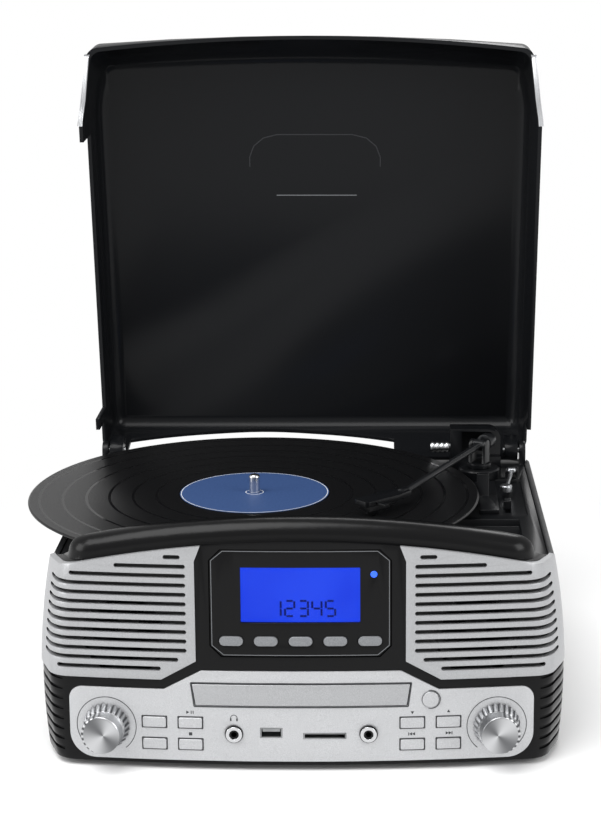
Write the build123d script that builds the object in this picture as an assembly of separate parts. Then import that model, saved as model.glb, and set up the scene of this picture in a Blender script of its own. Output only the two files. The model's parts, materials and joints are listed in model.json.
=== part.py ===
"""Table-top music centre with a turntable under a hinged dust cover.

Millimetres, +Z up. While the pieces are made, X = 0 is the middle of the cabinet, the front
looks along -Y and Z = 0 is the table. At the end everything is moved so that the origin is the
middle of the whole model's footprint on the table. The dust cover is drawn shut, then opened.
"""
import os
from math import acos, atan2, cos, degrees, radians, sin, sqrt, tan

from build123d import *

# Cabinet form
body_half = 163.6
belly_z = 48.0
belly_r = 400.0
front_y = -155.0
front_r = 1020.0
rear_y = 150.0
rear_taper = 1.6
facet_in = 12.0
facet_back = 43.0
facet_round = 16.0
side_round = 60.0
rear_round = 14.0
base_z = 4.0
deck_z = 118.0
wall = 3.6
fit_gap = 0.3

# Front moulding, its hood and the seam with the cabinet
seam_y = -100.0
arch_z = 146.0
arch_r = 600.0
hood_rise = 12.0
hood_round = 10.0
hood_depth = 17.5
hood_step = 4.5
shoulder_y = -131.0
rib_count = 8
rib_pitch = 6.6
rib_first_z = 10.5
rib_h = 2.2
rib_depth = 1.3

# Speaker grilles
grille_proud = 0.8
grille_t = 2.6
grille_inner_x = 63.6
grille_tip_x = 60.0
grille_low_z = 58.2
grille_notch_z = 70.4
grille_notch_x = 85.0
grille_end_y = -113.0
slot_count = 13
slot_pitch = 5.9
slot_top_z = 136.0
slot_w = 2.7
slot_inner_x = 69.0
slot_edge = 5.0
speaker_x = 107.0
speaker_z = 84.5
speaker_r = 25.0
speaker_depth = 28.0
speaker_plane_y = -136.0

# Display panel
panel_half = 54.8
panel_low_z = 73.5
panel_high_z = 141.0
panel_cut = 7.0
panel_t = 2.4
window_half = 35.9
window_low_z = 95.1
window_high_z = 129.6
window_t = 1.8
lcd_border = 2.4
lcd_back_y = -144.5
panel_inset = 0.6
lamp_x = 44.3
lamp_z = 125.5
lamp_r = 2.2
source_count = 5
source_pitch = 21.0
source_z = 83.4
source_w = 14.3
source_h = 5.9
source_proud = 0.8

# Control panel
control_half = 142.0
control_step_x = 83.6
control_mid_x = 60.7
control_mid_z = 64.4
control_side_z = 52.0
control_low_z = 6.4
control_proud = 0.8
control_t = 3.0
control_top_r = 8.0
control_low_r = 16.0
knob_x = 119.2
knob_z = 27.5
knob_face_r = 12.0
knob_skirt_r = 14.6
knob_h = 17.0
knob_skirt_h = 8.0
knob_flutes = 24
knob_shaft_r = 3.0
knob_lift = 1.0
key_x = (67.6, 89.7)
key_z = (31.0, 17.0)
key_w = 14.3
key_h = 6.5
key_proud = 1.0
key_travel = 0.8
key_gap = 0.35
key_stem = 5.0
key_seat_gap = 0.3
key_flange_t = 1.2
switch_face_h = 3.5
eject_x = 78.7
eject_z = 45.7
eject_r = 5.0
jack_x = 41.0
jack_z = 24.2
jack_bore_r = 1.8
jack_ring_r = 5.6
jack_bore_len = 14.0
usb_x = -18.3
usb_z = 25.0
usb_w = 13.1
usb_h = 6.2
card_x = 14.3
card_z = 23.0
card_w = 25.8
card_h = 3.6
board_y = -138.0
board_t = 1.6
board_half = 138.0
board_low_z = 9.0
board_high_z = 51.0
board_posts = ((53.0, 14.0), (53.0, 34.0), (104.5, 14.0), (104.5, 44.0))
main_board_x = (-120.0, -20.0)
main_board_y = (25.0, 115.0)

# Disc drawer
drawer_half = 66.2
drawer_low_half = 64.2
drawer_low_z = 42.4
drawer_high_z = 55.8
drawer_proud = 1.2
drawer_back_y = -150.0
drawer_gap = 0.5
tray_half = 63.0
tray_len = 146.0
tray_t = 6.5
tray_z = 44.0
disc_r = 60.6
disc_sink = 4.4
disc_small_r = 40.5
loader_t = 1.6
loader_low_z = 40.4
loader_top_z = 53.8

# Deck, platter and record
deck_t = 2.6
deck_top_z = 117.0
deck_floor_z = 112.0
lower_deck = (78.0, 140.0, -92.0, -8.0)
channel_x = (128.5, 146.5)
channel_y = (2.0, 92.0)
ledge_h = 4.0
ledge_w = 3.5
well_r = 106.0
well_z = 105.0
spindle_x = -36.5
spindle_y = 17.7
spindle_r = 3.6
spindle_top_z = 141.2
bore_gap = 0.05
platter_r = 100.0
platter_t = 4.0
drive_ring_r = 80.0
drive_ring_h = 8.0
mat_t = 1.8
record_top_z = 128.4
record_r = 150.8
record_t = 2.0
label_r = 50.0
label_t = 0.25
pulley_r = 5.0
pulley_angle = 118.0
pulley_reach = 90.0
flange_h = 2.0
motor_r = 14.0
motor_h = 20.0
belt_t = 0.9
belt_h = 4.0
belt_gap = 0.3
belt_z = 116.5

# Tone arm
arm_x = 118.0
arm_y = 100.0
arm_z = 140.0
arm_angle = -26.0
tube_r = 2.3
tube_len = 126.4
head_turn = -20.5
head_len = 38.0
arm_drop = 1.6
arm_base_r = 14.5
arm_base_z = 124.0
yoke_r = 8.5
yoke_half = 6.2
pin_r = 1.5
pin_in = 1.2
post_r = 4.0
weight_r = 5.5
weight_front = 8.0
weight_back = 18.0
house_x0 = 98.0
house_x1 = 134.0
house_y0 = 112.5
house_y1 = 129.0
house_z1 = 148.0
damper_r = 4.0
damper_len = 14.0
damper_place = (118.0, 134.0)
rest_x = (114.5, 127.5)
rest_y0 = 4.0
rest_y1 = 42.0

# Controls on the deck
lever_x = 141.0
lever_y = 96.0
lever_z = 122.0
lever_len = 46.0
lever_shift = 6.5
speed_x = 134.0
speed_y = 23.0
switch_w = 5.0
switch_len = 7.0
switch_travel = 8.0
switch_h = 5.0

# Dust cover, drawn shut
hinge_y = 140.0
hinge_z = 126.0
hinge_pin_r = 2.0
cover_half = 159.6
cover_taper = 3.4
cover_front_y = -157.0
cover_rear_y = 146.0
cover_rim_z = 118.6
cover_top_z = 184.0
cover_wall = 2.6
cover_lean_front = 20.0
cover_lean_side = 4.0
cover_lean_rear = 2.0
cover_round = 12.0
cover_open = 84.9
ear_in = 148.6
ear_t = 4.4
ear_r = 6.6
lug_in = 138.0
lug_out = 147.5
notch_y = 122.0
notch_z = 140.0
record_slot_y = (-88.0, 114.0)
cover_rear_rim_z = 121.0
cover_seat_gap = 1.5
cover_nose_in = 5.6
cover_nose_back = 6.0
cover_nose_r = 8.0
cover_rear_r = 8.0
cover_turn_y = -102.0
notch_top_z = 146.0
record_clear = 6.0
sight_x = (-136.0, 58.0)
sight_mid_x = -38.0
sight_back_y = 190.0
sight_r = 247.0
trim_from_x = 150.0
trim_front_y = -147.0
trim_t = 1.2
trim_h = 4.0
trim_back_y = -99.0

# Underside and rear
foot_r = 9.0
foot_x = 128.0
foot_y = (-84.0, 122.0)
tray_plate_t = 2.5
rear_plate_half = 120.0
rear_plate_low_z = 22.0
rear_plate_high_z = 92.0
rear_plate_t = 2.0
inlet_x = -92.0
inlet_r = 2.75
outlet_x = (-58.0, -38.0)
outlet_z = 52.0
outlet_r = 4.2
outlet_bore_r = 1.6
vent_count = 8
vent_x = 20.0
vent_pitch = 9.0
screw_r = 3.2
screw_shank_r = 1.5
rear_screw_z = (42.0, 72.0)

# Worked out from the sizes above
tray_top_z = base_z + tray_plate_t
ledge_z = deck_top_z - deck_t
motor_xy = (spindle_x + pulley_reach * cos(radians(pulley_angle)),
            spindle_y + pulley_reach * sin(radians(pulley_angle)))
key_names = {
    "program_key": (-key_x[1], key_z[0]),
    "mode_key": (-key_x[1], key_z[1]),
    "play_key": (-key_x[0], key_z[0]),
    "stop_key": (-key_x[0], key_z[1]),
    "folder_down_key": (key_x[0], key_z[0]),
    "previous_key": (key_x[0], key_z[1]),
    "folder_up_key": (key_x[1], key_z[0]),
    "next_key": (key_x[1], key_z[1]),
}

pieces = {}


def flank(z):
    """Half width of the cabinet's barrel-shaped side at a height."""
    return body_half - (belly_r - sqrt(belly_r**2 - (z - belly_z) ** 2))


def bow(x, y=None):
    """Where the bowed front face stands at a distance from the middle."""
    return (front_y if y is None else y) + x**2 / (2 * front_r)


def arch(x, rise=0.0):
    """Height of the arched line over the grilles, or of one parallel to it."""
    return arch_z + rise - x**2 / (2 * arch_r)


def plan(half, front, rear, taper, z=0.0):
    """Plan outline: bowed front, canted front corners, slightly tapering sides."""
    corner_x = half - facet_in
    turn_y = front + facet_back
    points = [(corner_x, bow(corner_x, front)), (half, turn_y), (half - taper, rear)]
    mirrored = [(-x, y) for x, y in reversed(points)]
    front_edge = ThreePointArc((-corner_x, bow(corner_x, front)), (0, front), points[0])
    side_edges = Polyline(*points, *mirrored)
    face = make_face([front_edge, side_edges])
    rounds = ((corner_x, facet_round), (half, side_round), (half - taper, rear_round))
    for x, radius in rounds:
        found = [v for v in face.vertices() if abs(abs(v.X) - x) < 0.01]
        face = fillet(found, radius)
    return Pos(0, 0, z) * face


def barrel(z0, z1, inset=0.0, steps=5, rear=None):
    """The cabinet's outer form between two heights, or one inset from it."""
    sections = []
    for i in range(steps):
        z = z0 + (z1 - z0) * i / (steps - 1)
        back = rear_y - inset if rear is None else rear
        sections.append(plan(flank(z) - inset, front_y + inset, back, rear_taper, z))
    return loft(sections)


def block(x0, x1, y0, y1, z0, z1):
    """A box between two corners."""
    centre = ((x0 + x1) / 2, (y0 + y1) / 2, (z0 + z1) / 2)
    return Pos(*centre) * Box(x1 - x0, y1 - y0, z1 - z0)


def front_prism(face, y0, y1):
    """A shape drawn in the front view, x across and z up, run from y0 back to y1."""
    return Pos(0, y1, 0) * extrude(Plane.XZ * face, y1 - y0)


def side_prism(face, x0, x1):
    """A shape drawn in the side view, y across and z up, run from x0 to x1."""
    return Pos(x0, 0, 0) * extrude(Plane.YZ * face, x1 - x0)


def polygon(*points):
    return make_face(Polyline(*points, close=True))


def both_sides(part):
    return part + mirror(part, Plane.YZ)


def arch_face(rise, low_z, x_end=None):
    """Everything in the front view below the arched line raised by rise, down to low_z."""
    end = body_half + 20 if x_end is None else x_end
    high = arch(end, rise)
    curve = ThreePointArc((-end, high), (0, arch_z + rise), (end, high))
    return make_face([curve, Polyline((end, high), (end, low_z), (-end, low_z), (-end, high))])


def grille_face(grow=0.0):
    """Front view of the right grille, or of one grown all round."""
    x0 = grille_inner_x - grow
    tip = grille_tip_x - grow
    low = grille_low_z - grow
    out = body_half + 10
    corners = [
        (tip, arch(grille_tip_x, grow)),
        (x0, arch(grille_tip_x) - 9.5),
        (x0, grille_notch_z - grow / 2),
        (grille_notch_x - grow / 2, low),
        (out, low),
        (out, arch(out, grow)),
    ]
    middle = (tip + out) / 2
    top = ThreePointArc(corners[-1], (middle, arch(middle, grow)), corners[0])
    return make_face([Polyline(*corners), top])


def slope_line(rise=0.0):
    """Side view ends of the line where the shoulders fall to the deck's rim."""
    return (shoulder_y, arch(body_half - facet_in, 6.0) + rise), (seam_y + 1, deck_z + rise)


def above_slope():
    top, foot = slope_line()
    return side_prism(polygon((top[0], 300), top, foot, (foot[0], 300)), -200, 200)


def below_slope(rise):
    top, foot = slope_line(rise)
    return side_prism(polygon((front_y - 30, -60), (front_y - 30, 300), (top[0], 300), top, foot,
                              (foot[0], -60)), -200, 200)


def make_fascia():
    """Black front moulding with the arched hood, hollow behind."""
    back = seam_y + 60
    crest = arch_z + hood_rise
    bounds = (front_y - 20, seam_y)
    outer = barrel(base_z, crest + 4, rear=back) & front_prism(arch_face(0, base_z - 1), *bounds)
    inner = barrel(base_z - 1, crest + 5, inset=wall, rear=back)
    inner = inner & front_prism(arch_face(-wall, base_z - 2), front_y, seam_y + 1)
    hood = barrel(deck_z - 4, crest + 4, inset=hood_step, rear=back)
    hood = hood & front_prism(arch_face(hood_rise, deck_z - 5), *bounds)
    brow = [e for e in hood.edges() if e.center().Z > arch(body_half) and e.center().Y < shoulder_y + 10
            and abs((e % 0.5).Z) < 0.5]
    hood = fillet(brow, hood_round)
    hollow = barrel(deck_z - 5, crest + 5, inset=hood_step + wall, rear=back)
    hollow = hollow & front_prism(arch_face(hood_rise - wall, deck_z - 6), front_y, seam_y + 1)
    hollow = hollow - barrel(deck_z - 6, crest + 6, inset=hood_depth - wall, rear=back)
    room = barrel(deck_z - 6, crest + 6, inset=hood_depth, rear=back)
    part = outer - inner + hood - hollow - (room & block(-200, 200, front_y, seam_y + 1, deck_z - 5, 200))
    part = part - above_slope()
    behind = barrel(base_z - 1, deck_z - 3, inset=wall, rear=back)
    return part - (behind & block(-200, 200, front_y, seam_y + 1, 0, deck_z - 4))


def front_skin(outside, depth, z0, z1):
    """A layer that follows the front: from outside beyond the form to depth within it."""
    back = seam_y + 60
    outer = barrel(z0, z1, inset=-outside, rear=back)
    inner = barrel(z0 - 1, z1 + 1, inset=depth, rear=back)
    return outer - inner


def slot_x(index):
    """Inner and outer ends of a grille slot."""
    z = slot_top_z - index * slot_pitch
    inner = slot_inner_x + {slot_count - 2: 5.2, slot_count - 1: 16.0}.get(index, 0)
    outer = flank(z) - slot_edge
    outer = {0: 82.3, 1: 112.2, 2: 139.8, slot_count - 1: 149.0}.get(index, outer)
    return inner, outer, z


def make_grille(skin):
    """Right grille: a wrapped plate with its slots."""
    face = grille_face()
    slots = Sketch()
    for i in range(slot_count):
        x0, x1, z = slot_x(i)
        if i == 0:
            x0 = slot_inner_x + 3
        slots += Pos((x0 + x1) / 2, z) * SlotOverall(x1 - x0, slot_w)
    plate = skin & front_prism(face - slots, front_y - 5, grille_end_y)
    return plate


def control_face(grow=0.0):
    """Front view outline of the control panel."""
    half = control_half + grow
    right = [
        (0, control_mid_z + grow),
        (control_mid_x + grow / 2, control_mid_z + grow),
        (control_step_x + grow / 2, control_side_z + grow),
        (half, control_side_z + grow),
        (half, control_low_z - grow),
        (0, control_low_z - grow),
    ]
    face = make_face(Polyline(*right, close=True))
    corners = face.vertices().filter_by(lambda v: abs(v.X - half) < 0.01).sort_by(Axis.Y)
    face = fillet([corners[1]], control_top_r + grow)
    low = face.vertices().filter_by(lambda v: abs(v.X - half) < 0.01).sort_by(Axis.Y)[0]
    face = fillet([low], control_low_r + grow)
    return face + mirror(face, Plane.YZ)


def panel_face(grow=0.0):
    """Front view outline of the display panel."""
    half = panel_half + grow
    low = panel_low_z - grow
    high = panel_high_z + grow
    face = Pos(0, (low + high) / 2) * Rectangle(2 * half, high - low)
    return chamfer(face.vertices(), panel_cut)


def drawer_face(grow=0.0):
    """Front view outline of the drawer's front."""
    return polygon((-drawer_half - grow, drawer_high_z + grow), (drawer_half + grow, drawer_high_z + grow),
                   (drawer_low_half + grow, drawer_low_z - grow),
                   (-drawer_low_half - grow, drawer_low_z - grow))


def key_places():
    """Centres of the eight keys on the control panel."""
    return list(key_names.values())


def source_places():
    """Centres of the source buttons on the display panel."""
    return [((i - (source_count - 1) / 2) * source_pitch, source_z) for i in range(source_count)]


def rib_grooves():
    """Level grooves round the lower corners and flanks."""
    grooves = Part()
    for i in range(rib_count):
        z = rib_first_z + i * rib_pitch
        ring = plan(flank(z) + 2, front_y - 2, rear_y + 30, rear_taper)
        ring = ring - plan(flank(z) - rib_depth, front_y + rib_depth, rear_y + 40, rear_taper)
        grooves += Pos(0, 0, z - rib_h / 2) * extrude(ring, rib_h)
    free = block(-control_half - 4, control_half + 4, -200, seam_y, 0, deck_z)
    end = block(-200, 200, rear_y - 24, rear_y + 60, 0, deck_z)
    return grooves - free - end


def front_at(x, inset):
    """Where a layer of the bowed front stands, inset from the form, at a distance from the middle."""
    return bow(x, front_y + inset)


def bowed(face, proud, back):
    """A front-view shape whose front follows the bow, proud of the form, run back to a plane."""
    crown = front_y - proud
    corner = body_half - facet_in
    bow_r = (corner**2 + bow(corner, 0.0) ** 2) / (2 * bow(corner, 0.0))
    sweep = Pos(0, crown + bow_r, 80) * Cylinder(bow_r, 200)
    return front_prism(face, crown - 2, back) & sweep


def rod(x, y, z, r, length, axis="Z"):
    """A round bar whose first end is at a point and which runs along an axis."""
    turn = {"Z": Rot(0, 0, 0), "Y": Rot(-90, 0, 0), "X": Rot(0, 90, 0)}[axis]
    bar = Cylinder(r, length, align=(Align.CENTER, Align.CENTER, Align.MIN))
    return Pos(x, y, z) * turn * bar


def tube(x, y, z, outer, inner, length, axis="Z"):
    return rod(x, y, z, outer, length, axis) - rod(x, y, z, inner, length, axis)


def ring_about(points):
    """A turned piece about the vertical through the origin from its half section, radius by z."""
    return revolve(Plane.XZ * polygon(*points), Axis.Z)


skin_z0 = base_z - 1
crest_z = arch_z + hood_rise
front_outer = front_skin(grille_proud, grille_t - grille_proud, skin_z0, crest_z)
grooves = rib_grooves()

grille = make_grille(front_outer)
pieces["grille_right"] = grille
pieces["grille_left"] = mirror(grille, Plane.YZ)

pocket = front_skin(3, grille_t - grille_proud, skin_z0, crest_z)
fascia = make_fascia()
grille_seat = both_sides(front_prism(grille_face(fit_gap), front_y - 5, grille_end_y + fit_gap))
fascia -= pocket & grille_seat
sound = Pos(speaker_x, speaker_z) * Circle(speaker_r + 0.5)
fascia -= both_sides(front_prism(sound, front_y - 5, speaker_plane_y + 20))
control_pocket = front_skin(3, control_t - control_proud, skin_z0, crest_z)
fascia -= control_pocket & front_prism(control_face(fit_gap), front_y - 5, seam_y)
fascia -= front_prism(control_face(-3.5) + Pos(eject_x, eject_z) * Circle(eject_r + 2), front_y - 5, seam_y)
panel_pocket = front_skin(3, panel_inset + panel_t, skin_z0, crest_z)
fascia -= panel_pocket & front_prism(panel_face(fit_gap), front_y - 5, seam_y)
fascia -= front_prism(panel_face(-3), front_y - 5, front_y + 13)
fascia -= grooves
ring = Pos(speaker_x, speaker_z) * (Circle(speaker_r + 4) - Circle(speaker_r + 1))
collar = front_prism(ring, front_y, speaker_plane_y) & barrel(base_z, crest_z, inset=wall - 1)
fascia += both_sides(collar)
pieces["front_fascia"] = fascia

control = front_skin(control_proud, control_t - control_proud, skin_z0, crest_z)
control = control & front_prism(control_face(), front_y - 5, seam_y)
holes = Sketch() + drawer_face(drawer_gap)
for x, z in key_places():
    holes += Pos(x, z) * Rectangle(key_w + 2 * key_gap, key_h + 2 * key_gap)
holes += Pos(eject_x, eject_z) * Circle(eject_r + key_gap)
for x in (-jack_x, jack_x):
    holes += Pos(x, jack_z) * Circle(jack_ring_r - 2)
for x in (-knob_x, knob_x):
    holes += Pos(x, knob_z) * Circle(knob_shaft_r + 1.0)
holes += Pos(usb_x, usb_z) * Rectangle(usb_w + 0.4, usb_h + 0.4)
holes += Pos(card_x, card_z) * Rectangle(card_w + 0.4, card_h + 0.4)
control -= front_prism(holes, front_y - 5, seam_y)
for x, z in board_posts:
    inner_y = front_at(x + 3, control_t - control_proud) - 0.5
    control += both_sides(rod(x, inner_y, z, 2.5, board_y - inner_y, "Y"))
pieces["control_panel"] = control

panel = front_skin(-panel_inset, panel_inset + panel_t, skin_z0, crest_z)
panel_holes = Pos(0, (window_low_z + window_high_z) / 2) * Rectangle(
    2 * window_half + 0.2, window_high_z - window_low_z + 0.2)
for x, z in source_places():
    panel_holes += Pos(x, z) * SlotOverall(source_w + 2 * key_gap, source_h + 2 * key_gap)
panel_holes += Pos(lamp_x, lamp_z) * Circle(lamp_r + 0.05)
panel = panel & front_prism(panel_face() - panel_holes, front_y - 5, seam_y)
pieces["display_panel"] = panel

# Display
def make_window():
    hole_w = 2 * window_half
    face = Pos(0, (window_low_z + window_high_z) / 2) * Rectangle(hole_w, window_high_z - window_low_z)
    pane = bowed(face, -panel_inset, seam_y) - bowed(face, -panel_inset - window_t, seam_y)
    lens = bowed(Pos(lamp_x, lamp_z) * Circle(lamp_r), -panel_inset, lcd_back_y - switch_face_h)
    return pane + lens


def make_lcd():
    """Glass block against the window's back, with a flange behind the panel."""
    front = front_at(window_half - lcd_border, panel_inset + window_t) + bore_gap
    half = window_half - lcd_border
    low = window_low_z + lcd_border * 1.5
    glass = block(-half, half, front, lcd_back_y, low, window_high_z - lcd_border / 2)
    flange_y = front_at(half + 4, panel_inset + panel_t) + bore_gap
    return glass + block(-half - 4, half + 4, flange_y, lcd_back_y, window_low_z - 2, window_high_z + 2)


def make_button(face, flange_face, proud, inset, thick, board_y, stem):
    """A cap through a front panel, its flange behind the panel, and a stem to its switch."""
    x = face.center().X
    rear = front_at(abs(x) + key_w / 2, inset + thick) + key_seat_gap
    cap = bowed(face, proud - inset, rear + key_flange_t)
    flange = front_prism(flange_face, rear, rear + key_flange_t)
    z = face.center().Y
    post = block(x - stem / 2, x + stem / 2, rear, board_y - switch_face_h - key_travel - 0.15,
                 z - 1.5, z + 1.5)
    return cap + flange + post


def key_plate(x, z, grow=0.0):
    return Pos(x, z) * RectangleRounded(key_w + 2 * grow, key_h + 2 * grow, 1.0)


def pill(x, z, grow=0.0):
    return Pos(x, z) * SlotOverall(source_w + 2 * grow, source_h + 2 * grow)


def make_switches(places, board_y):
    """Small square switches on the front of a board."""
    part = Part()
    for x, z in places:
        part += block(x - 3, x + 3, board_y - switch_face_h, board_y, z - 3, z + 3)
    return part


def make_boards():
    lower = polygon((-board_half, board_low_z), (board_half, board_low_z), (board_half, board_high_z),
                    (drawer_half + 2, board_high_z), (drawer_half + 2, loader_low_z - 1.5),
                    (-drawer_half - 2, loader_low_z - 1.5), (-drawer_half - 2, board_high_z),
                    (-board_half, board_high_z))
    control_board = front_prism(lower, board_y, board_y + board_t)
    control_board += make_switches(key_places() + [(eject_x, eject_z)], board_y)
    display_board = block(-48, 48, lcd_back_y, lcd_back_y + board_t, 80, 134.5)
    display_board += make_switches(source_places(), lcd_back_y)
    main_board = block(*main_board_x, *main_board_y, tray_top_z + 6, tray_top_z + 6 + board_t)
    return control_board + display_board + main_board


def knob_frame(side):
    """The knob's own frame: local +Z out of the panel, which is canted by the bow."""
    cant = degrees(atan2(knob_x, front_r)) * side
    y = front_at(knob_x, -control_proud)
    return Pos(side * knob_x, y, knob_z) * Rot(0, 0, cant) * Rot(90, 0, 0)


def make_knob(side):
    """A scalloped skirt under a plain drum, bored for its shaft."""
    base = knob_lift
    drum = Pos(0, 0, base) * Cylinder(knob_face_r, knob_h, align=(Align.CENTER, Align.CENTER, Align.MIN))
    drum = fillet(drum.faces().sort_by(Axis.Z)[-1].edges(), 1.2)
    skirt = Pos(0, 0, base) * Cone(knob_skirt_r, knob_face_r + 0.8, knob_skirt_h,
                                   align=(Align.CENTER, Align.CENTER, Align.MIN))
    flutes = Part()
    for i in range(knob_flutes):
        turn = Rot(0, 0, 360 * i / knob_flutes)
        lean = Pos(knob_skirt_r + 0.6, 0, base - 1) * Rot(0, -10, 0)
        flutes += turn * lean * Cylinder(1.3, knob_skirt_h + 4, align=(Align.CENTER, Align.CENTER, Align.MIN))
    bore = Cylinder(knob_shaft_r + bore_gap, knob_h - 3, align=(Align.CENTER, Align.CENTER, Align.MIN))
    return knob_frame(side) * (drum + (skirt - flutes) - bore)


def make_encoder(side):
    """Shaft and body of a rotary control, fixed to the board behind the panel."""
    shaft = Pos(0, 0, -20) * Cylinder(knob_shaft_r, 20 + knob_h - 3,
                                      align=(Align.CENTER, Align.CENTER, Align.MIN))
    body = Pos(0, 0, -control_t - 1) * Cylinder(8, 20, align=(Align.CENTER, Align.CENTER, Align.MAX))
    return knob_frame(side) * (shaft + body) & block(-200, 200, -200, board_y, 0, 100)


def make_jack(x):
    """Ringed socket with a plain round bore."""
    front = front_at(jack_x - jack_ring_r, -control_proud)
    ring_front = front - 1.2
    body = rod(x, ring_front, jack_z, jack_ring_r, 1.2 - 0.05, "Y")
    body = chamfer(body.faces().sort_by(Axis.Y)[0].edges(), 0.5)
    body += rod(x, ring_front + 1, jack_z, jack_ring_r - 2.05, board_y - ring_front - 1, "Y")
    return body - rod(x, ring_front - 1, jack_z, jack_bore_r, jack_bore_len + 1, "Y")


def make_port(x, z, w, h, wall_t, tongue):
    """A rectangular metal socket with its contact tongue."""
    front = front_at(abs(x) + w / 2, -control_proud) - 0.1
    shell = block(x - w / 2, x + w / 2, front, board_y, z - h / 2, z + h / 2)
    shell -= block(x - w / 2 + wall_t, x + w / 2 - wall_t, front - 1, board_y - 1, z - h / 2 + wall_t,
                   z + h / 2 - wall_t)
    if tongue:
        shell += block(x - w / 2 + 1.2, x + w / 2 - 1.2, front + 1.5, board_y - 0.5, z + 0.3, z + 2.0)
    return shell


# Disc drawer
def make_drawer_front():
    return bowed(drawer_face(), drawer_proud, drawer_back_y)


def make_tray():
    tray = block(-tray_half, tray_half, drawer_back_y, drawer_back_y + tray_len, tray_z, tray_z + tray_t)
    rear = tray.edges().filter_by(Axis.Z).sort_by(Axis.Y)[-2:]
    tray = fillet(rear, 8)
    centre_y = drawer_back_y + tray_len - 8 - disc_r
    tray -= rod(0, centre_y, tray_z + tray_t - disc_sink, disc_r, disc_sink + 1)
    tray -= rod(0, centre_y, tray_z + tray_t - disc_sink - 0.8, disc_small_r, disc_sink + 1)
    opening = block(-16, 16, centre_y - 4, centre_y + disc_r - 3, tray_z - 1, tray_z + tray_t)
    return tray - opening


def make_loader():
    """Folded chassis round the tray: floor, sides, back and a bridge with the disc clamp."""
    x = tray_half + fit_gap
    y0 = drawer_back_y + 6
    y1 = drawer_back_y + tray_len + 6
    low = loader_low_z
    floor = block(-x - loader_t, x + loader_t, y0, y1, low, low + loader_t)
    sides = both_sides(block(x, x + loader_t, y0, y1, low, loader_top_z))
    back = block(-x, x, y1 - loader_t, y1, low, loader_top_z)
    centre_y = drawer_back_y + tray_len - 8 - disc_r
    bridge = block(-x - loader_t, x + loader_t, centre_y - 12, centre_y + 12, loader_top_z, loader_top_z + loader_t)
    clamp = rod(0, centre_y, loader_top_z - 3, 14, 3)
    rails = both_sides(block(x - 3, x, y0, y1, tray_z - fit_gap - 1.2, tray_z - fit_gap))
    return floor + sides + back + bridge + clamp + rails


# Speakers
def make_speaker(x):
    """Driver: flange, cone and dust cap, basket and magnet, facing the front."""
    outer, depth = speaker_r + 4, speaker_depth
    points = [(0, -8), (7, -9), (11, -14), (speaker_r - 4, -2), (speaker_r - 1, -1), (speaker_r + 0.5, 0),
              (outer, 0), (outer, -2), (speaker_r, -3), (22, -16), (20, -16), (20, -depth), (0, -depth)]
    return Pos(x, speaker_plane_y, speaker_z) * Rot(90, 0, 0) * ring_about(points)


# Cabinet
def make_cabinet():
    """Open-topped shell behind the fascia, with a ledge for the deck and posts for the screws."""
    zone = block(-200, 200, seam_y, rear_y + 5, base_z, deck_z)
    shell = barrel(base_z, deck_z) & zone
    shell -= barrel(base_z - 1, ledge_z - ledge_h, inset=wall)
    shell -= barrel(ledge_z - ledge_h - 1, ledge_z + 1, inset=wall + ledge_w)
    shell -= barrel(ledge_z, deck_z + 1, inset=wall)
    shell -= grooves
    rim_cut = ear_in + ear_t + 1
    shell -= block(-rim_cut, rim_cut, hinge_y - ear_r - 1, rear_y + 5, deck_top_z, deck_z + 1)
    for x in (-rear_plate_half + 2, rear_plate_half - 2):
        for z in rear_screw_z:
            shell -= rod(x, rear_y - wall - 1, z, screw_shank_r, wall + 2, "Y")
    middle = (rear_plate_low_z + rear_plate_high_z) / 2
    high = rear_plate_high_z - rear_plate_low_z
    seat = Pos(0, middle) * RectangleRounded(2 * rear_plate_half + 2 * fit_gap, high + 2 * fit_gap, 4)
    window = Pos(0, middle) * RectangleRounded(2 * rear_plate_half - 8, high - 8, 4)
    shell -= front_prism(seat, rear_y - rear_plate_t, rear_y + 5)
    shell -= front_prism(window, rear_y - 10, rear_y + 5)
    posts = Part()
    for x in (-foot_x, foot_x):
        for y in foot_y:
            side = 1 if x > 0 else -1
            post = rod(x, y, tray_top_z, 4, 30)
            reach = side * (flank(20) - wall / 2)
            web = block(min(x, reach), max(x, reach), y - 1, y + 1, tray_top_z, tray_top_z + 30)
            posts += post + web - rod(x, y, tray_top_z - 1, screw_shank_r, 25)
    return shell + posts


def make_bottom():
    """Bottom plate with standoffs for the board and posts under the disc loader."""
    inset = wall + fit_gap
    face = plan(flank(base_z) - inset, front_y + inset, rear_y - inset, rear_taper, base_z)
    plate = extrude(face, tray_plate_t)
    for i in range(7):
        plate -= block(30, 95, 20 + 9 * i, 23 + 9 * i, 0, 20)
    for x in (-foot_x, foot_x):
        for y in foot_y:
            plate -= rod(x, y, 0, screw_shank_r, 20)
    for x in (main_board_x[0] + 5, main_board_x[1] - 5):
        for y in (main_board_y[0] + 5, main_board_y[1] - 5):
            plate += rod(x, y, base_z + 1, 3, tray_top_z + 6 - base_z - 1)
    for x in (-tray_half + 4, tray_half - 4):
        for y in (drawer_back_y + 24, drawer_back_y + tray_len - 4):
            plate += rod(x, y, base_z + 1, 4, loader_low_z - base_z - 1)
    return plate


def make_feet():
    foot = rod(0, 0, 0, foot_r, base_z)
    foot = fillet(foot.faces().sort_by(Axis.Z)[0].edges(), 1.0)
    foot -= rod(0, 0, -1, screw_r + 1, base_z)
    feet = Part()
    for x in (-foot_x, foot_x):
        for y in foot_y:
            feet += Pos(x, y, 0) * (foot - rod(0, 0, 0, screw_shank_r, base_z))
    return feet


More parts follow.
